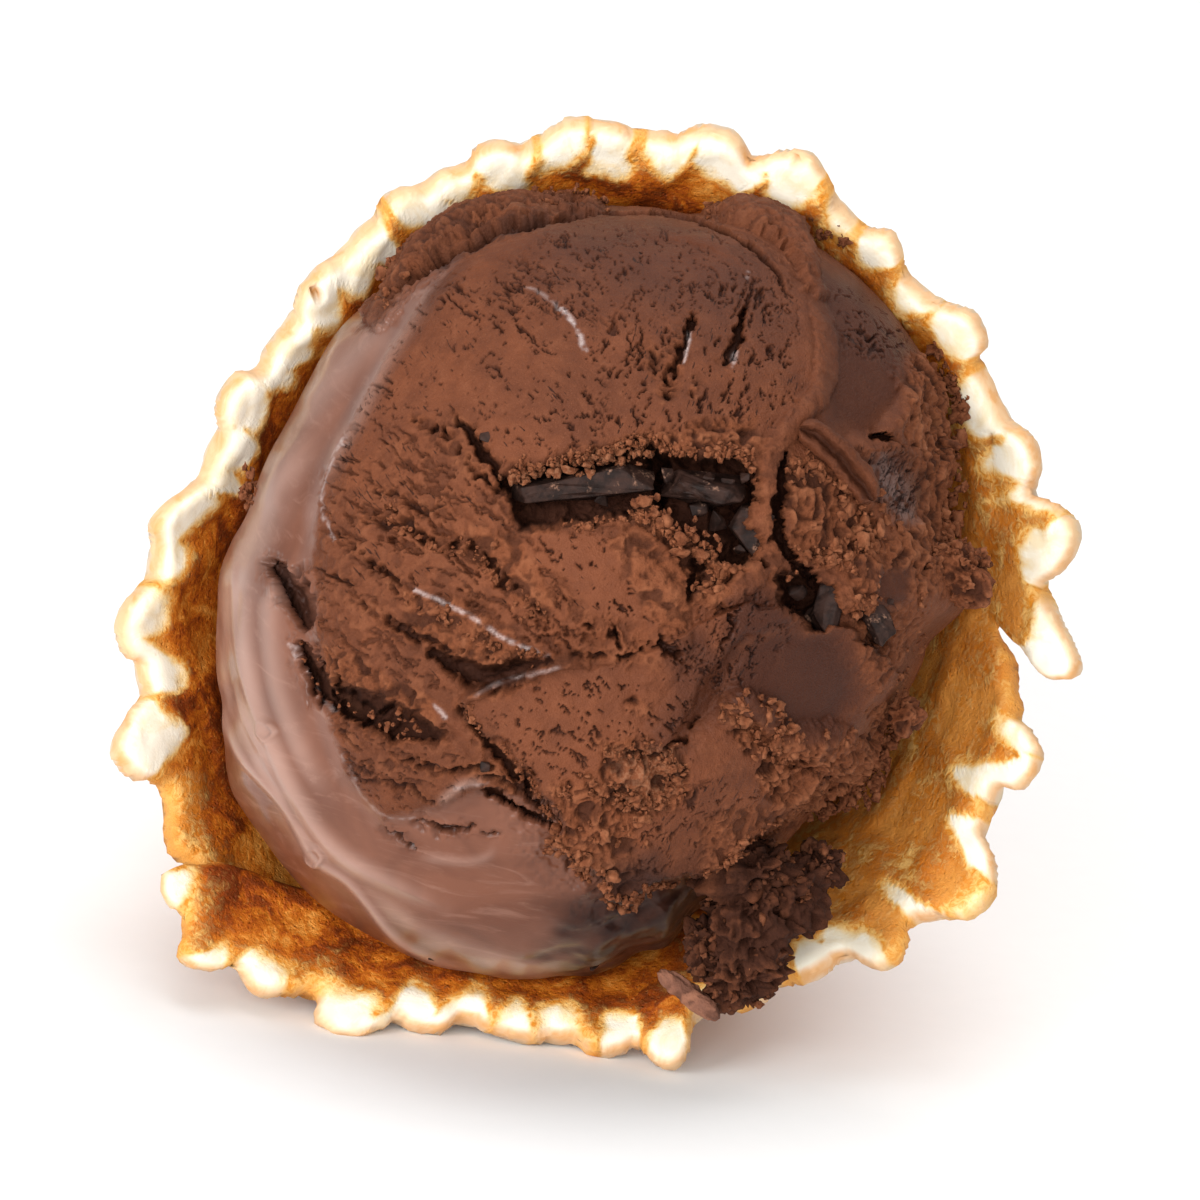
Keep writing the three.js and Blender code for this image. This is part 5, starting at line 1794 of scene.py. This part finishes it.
def makeChunk(number, chunk, material):
    draw = np.random.default_rng(200 + number)
    spots = []
    for _ in range(chunkShape["spots"]):
        spot = draw.uniform(-1, 1, 3)
        spot = np.sign(spot) * np.abs(spot) ** chunkShape["squareness"]
        spot[1:] *= 1 - chunkShape["slant"] * max(0, -spot[0]) ** 2
        spots.append(spot * np.array(chunk["half"]) * chunkShape["oversize"])
    shard = hullRound(spots)
    flatAngle, bevel, cuts = (chunkShape[key] for key in ("flatAngle", "bevel", "cuts"))
    bmesh.ops.dissolve_limit(shard, angle_limit=flatAngle, verts=shard.verts, edges=shard.edges)
    bmesh.ops.bevel(shard, geom=shard.edges[:], offset=bevel, segments=2, affect="EDGES", profile=0.6)
    bmesh.ops.triangulate(shard, faces=shard.faces[:])
    bmesh.ops.subdivide_edges(shard, edges=shard.edges[:], cuts=cuts, use_grid_fill=True)
    bmesh.ops.triangulate(shard, faces=shard.faces[:])
    points, faces = taken(shard)
    outward = points / np.maximum(np.linalg.norm(points, axis=1, keepdims=True), 0.1)
    (broad, broadSize), (fine, fineSize) = chunkShape["chips"]
    chips = broad * noise(points, broadSize, 210 + number) + fine * noise(points, fineSize, 220)
    points = points + outward * chips[:, None]
    x, y = chunk["at"]
    _, _, height, _, _ = faceShape(np.array([float(x)]), np.array([float(y)]))
    middle = np.array([x, y, float(height[0]) - chunk["sink"]])
    build = Build([])
    build.add(turned(points, math.radians(chunk["turn"])) + middle, faces)
    return flatFaced(build.finish(f"chocolatePiece{number}", material))


# Colours of the chocolate, from the photograph
chocolateTones = {
    "dark": ((0.012, 0.006, 0.0045), (0.038, 0.018, 0.013)),
    "dust": (0.28, 0.15, 0.10),
}
chocolateGrain = {"patchy": 1.4, "fine": 0.3, "dust": 2.2}


def chocolateMaterial():
    tones = chocolateTones
    material, wire, surface = newMaterial("darkChocolate", {"Specular IOR Level": 0.12})
    patchy = wire.noise(chocolateGrain["patchy"], 4, 0.6)
    fine = wire.noise(chocolateGrain["fine"], 3, 0.6)
    dust = wire.noise(chocolateGrain["dust"], 4, 0.7).above(0.56, 0.66)
    base = wire.mix(*tones["dark"], patchy.above(0.35, 0.65))
    base = wire.mix(base, tones["dust"], dust * fine.above(0.4, 0.6) * 0.8)
    rough = 0.46 + patchy * 0.2 + dust * 0.3
    height = patchy * 0.5 + fine * 0.25
    normal = wire.bump(height, 0.0003, 0.5)
    feed(surface, {"Base Color": base, "Roughness": rough.held(), "Normal": normal})
    return material


# Places in pixels, how far below the face in mm, and size in mm
chocolateBits = [
    ((484, 437), 0.2, 0.95), ((487, 767), 0.2, 0.9), ((432, 958), 0.3, 1.0), ((640, 920), 0.3, 0.9),
    ((595, 966), 0.3, 0.8), ((668, 476), 2.4, 1.3), ((688, 488), 2.8, 1.6), ((708, 480), 2.4, 1.3),
    ((728, 490), 2.6, 1.5), ((744, 478), 2.2, 1.0), ((700, 506), 3.2, 1.6), ((716, 522), 3.4, 1.5),
    ((704, 546), 2.8, 1.3), ((740, 550), 2.2, 1.1), ((752, 540), 2.4, 0.9), ((796, 592), 4.4, 1.7),
    ((826, 598), 3.4, 1.8), ((812, 614), 4.2, 1.3), ((872, 624), 1.5, 1.4), ((880, 640), 1.3, 1.1),
    ((620, 470), 1.2, 0.9), ((600, 500), 3.4, 1.2), ((890, 602), 0.4, 0.6),
]


bitShape = {"spots": 14, "half": 0.8, "bevel": 0.05}


def makeBits(material):
    draw = np.random.default_rng(23)
    build = Build([])
    for (px, py), below, size in chocolateBits:
        half = bitShape["half"]
        spots = [
            draw.uniform(-1, 1, 3) * size * half * (0.5 + 0.5 * draw.random(3))
            for _ in range(bitShape["spots"])
        ]
        shard = hullRound(spots)
        bmesh.ops.bevel(
            shard, geom=shard.edges[:], offset=bitShape["bevel"], segments=1, affect="EDGES"
        )
        bmesh.ops.triangulate(shard, faces=shard.faces[:])
        points, faces = taken(shard)
        build.add(points + surfacePoint(px, py, -below), faces)
    return flatFaced(build.finish("chocolateBits", material))


waffle = makeCone(waffleMaterial())
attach(waffle, "root")
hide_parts("waffle_cone")
print("cone made")

cream = makeScoop(creamMaterial())
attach(cream, "root")
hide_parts("ice_cream_scoop")
print("scoop made")

crumbs = makeCrumbs(cream.data.materials[0])
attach(crumbs, "root")

darkChocolate = chocolateMaterial()
for number, chunk in enumerate(chunks, 1):
    piece = makeChunk(number, chunk, darkChocolate)
    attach(piece, "root")
    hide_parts(f"chocolate_chunk_{number}")
bits = makeBits(darkChocolate)
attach(bits, "root")
print("chocolate made")


# A pale floor that runs far behind the cone
def makeFloor():
    floor = {"halfWidth": 4.0, "height": 0.0, "colours": ((0.9, 0.9, 0.895), (0.92, 0.92, 0.915))}
    half = floor["halfWidth"]
    mesh = bpy.data.meshes.new("paleFloor")
    corners = [(-half, -half), (half, -half), (half, half), (-half, half)]
    mesh.from_pydata([(x, y, floor["height"]) for x, y in corners], [], [(0, 1, 2, 3)])
    piece = bpy.data.objects.new("paleFloor", mesh)
    bpy.context.scene.collection.objects.link(piece)
    material, wire, surface = newMaterial("palePaper", {"Roughness": 0.9, "Specular IOR Level": 0.2})
    grain = wire.noise(3, 2, 0.5)
    feed(surface, {"Base Color": wire.mix(*floor["colours"], grain)})
    mesh.materials.append(material)


# Soft light from the left of the mouth, a weaker one from above, and light from all round
def makeLights():
    mouth = (0, -0.05, 0.04)
    roomLight = 0.5
    lamps = [
        {"name": "leftSoftbox", "at": (-0.68, -0.84, 0.34), "size": 0.45, "power": 8, "aim": mouth},
        {"name": "frontSoftbox", "at": (-0.1, -1.4, 0.42), "size": 0.8, "power": 11.5, "aim": mouth},
        {"name": "topSoftbox", "at": (0.1, 0.1, 1.1), "size": 1.1, "power": 9, "aim": (0, 0, 0)},
    ]
    for lamp in lamps:
        light = bpy.data.lights.new(lamp["name"], "AREA")
        light.shape = "SQUARE"
        light.size = lamp["size"]
        light.energy = lamp["power"]
        holder = bpy.data.objects.new(lamp["name"], light)
        holder.location = lamp["at"]
        heading = Vector(lamp["aim"]) - holder.location
        holder.rotation_euler = heading.to_track_quat("-Z", "Y").to_euler()
        bpy.context.scene.collection.objects.link(holder)
    world = bpy.data.worlds.new("paleRoom")
    world.use_nodes = True
    surround = world.node_tree.nodes["Background"]
    surround.inputs["Color"].default_value = (1, 1, 1, 1)
    surround.inputs["Strength"].default_value = roomLight
    bpy.context.scene.world = world


# The camera looks straight down the cone's axis into its mouth
def makeCamera():
    photo = {"eyeX": 0.4625, "eyeY": -0.6475, "sensor": 36}
    seenWidth = view["imageSize"] * view["mmPerPixel"]
    camera = bpy.data.cameras.new("camera")
    camera.sensor_width = photo["sensor"]
    camera.lens = photo["sensor"] * view["eyeDistance"] / seenWidth
    camera.clip_start = 0.05
    camera.clip_end = 20
    holder = bpy.data.objects.new("camera", camera)
    place = toWorld(np.array([[photo["eyeX"], photo["eyeY"], view["eyeDistance"]]], float))[0]
    axes = Matrix(coneAxes.tolist()).to_4x4()
    holder.matrix_world = Matrix.Translation(Vector(place)) @ axes
    bpy.context.scene.collection.objects.link(holder)
    bpy.context.scene.camera = holder


makeFloor()
makeLights()
makeCamera()
bpy.context.scene.view_settings.view_transform = "Standard"
print("stage, lights and camera made")
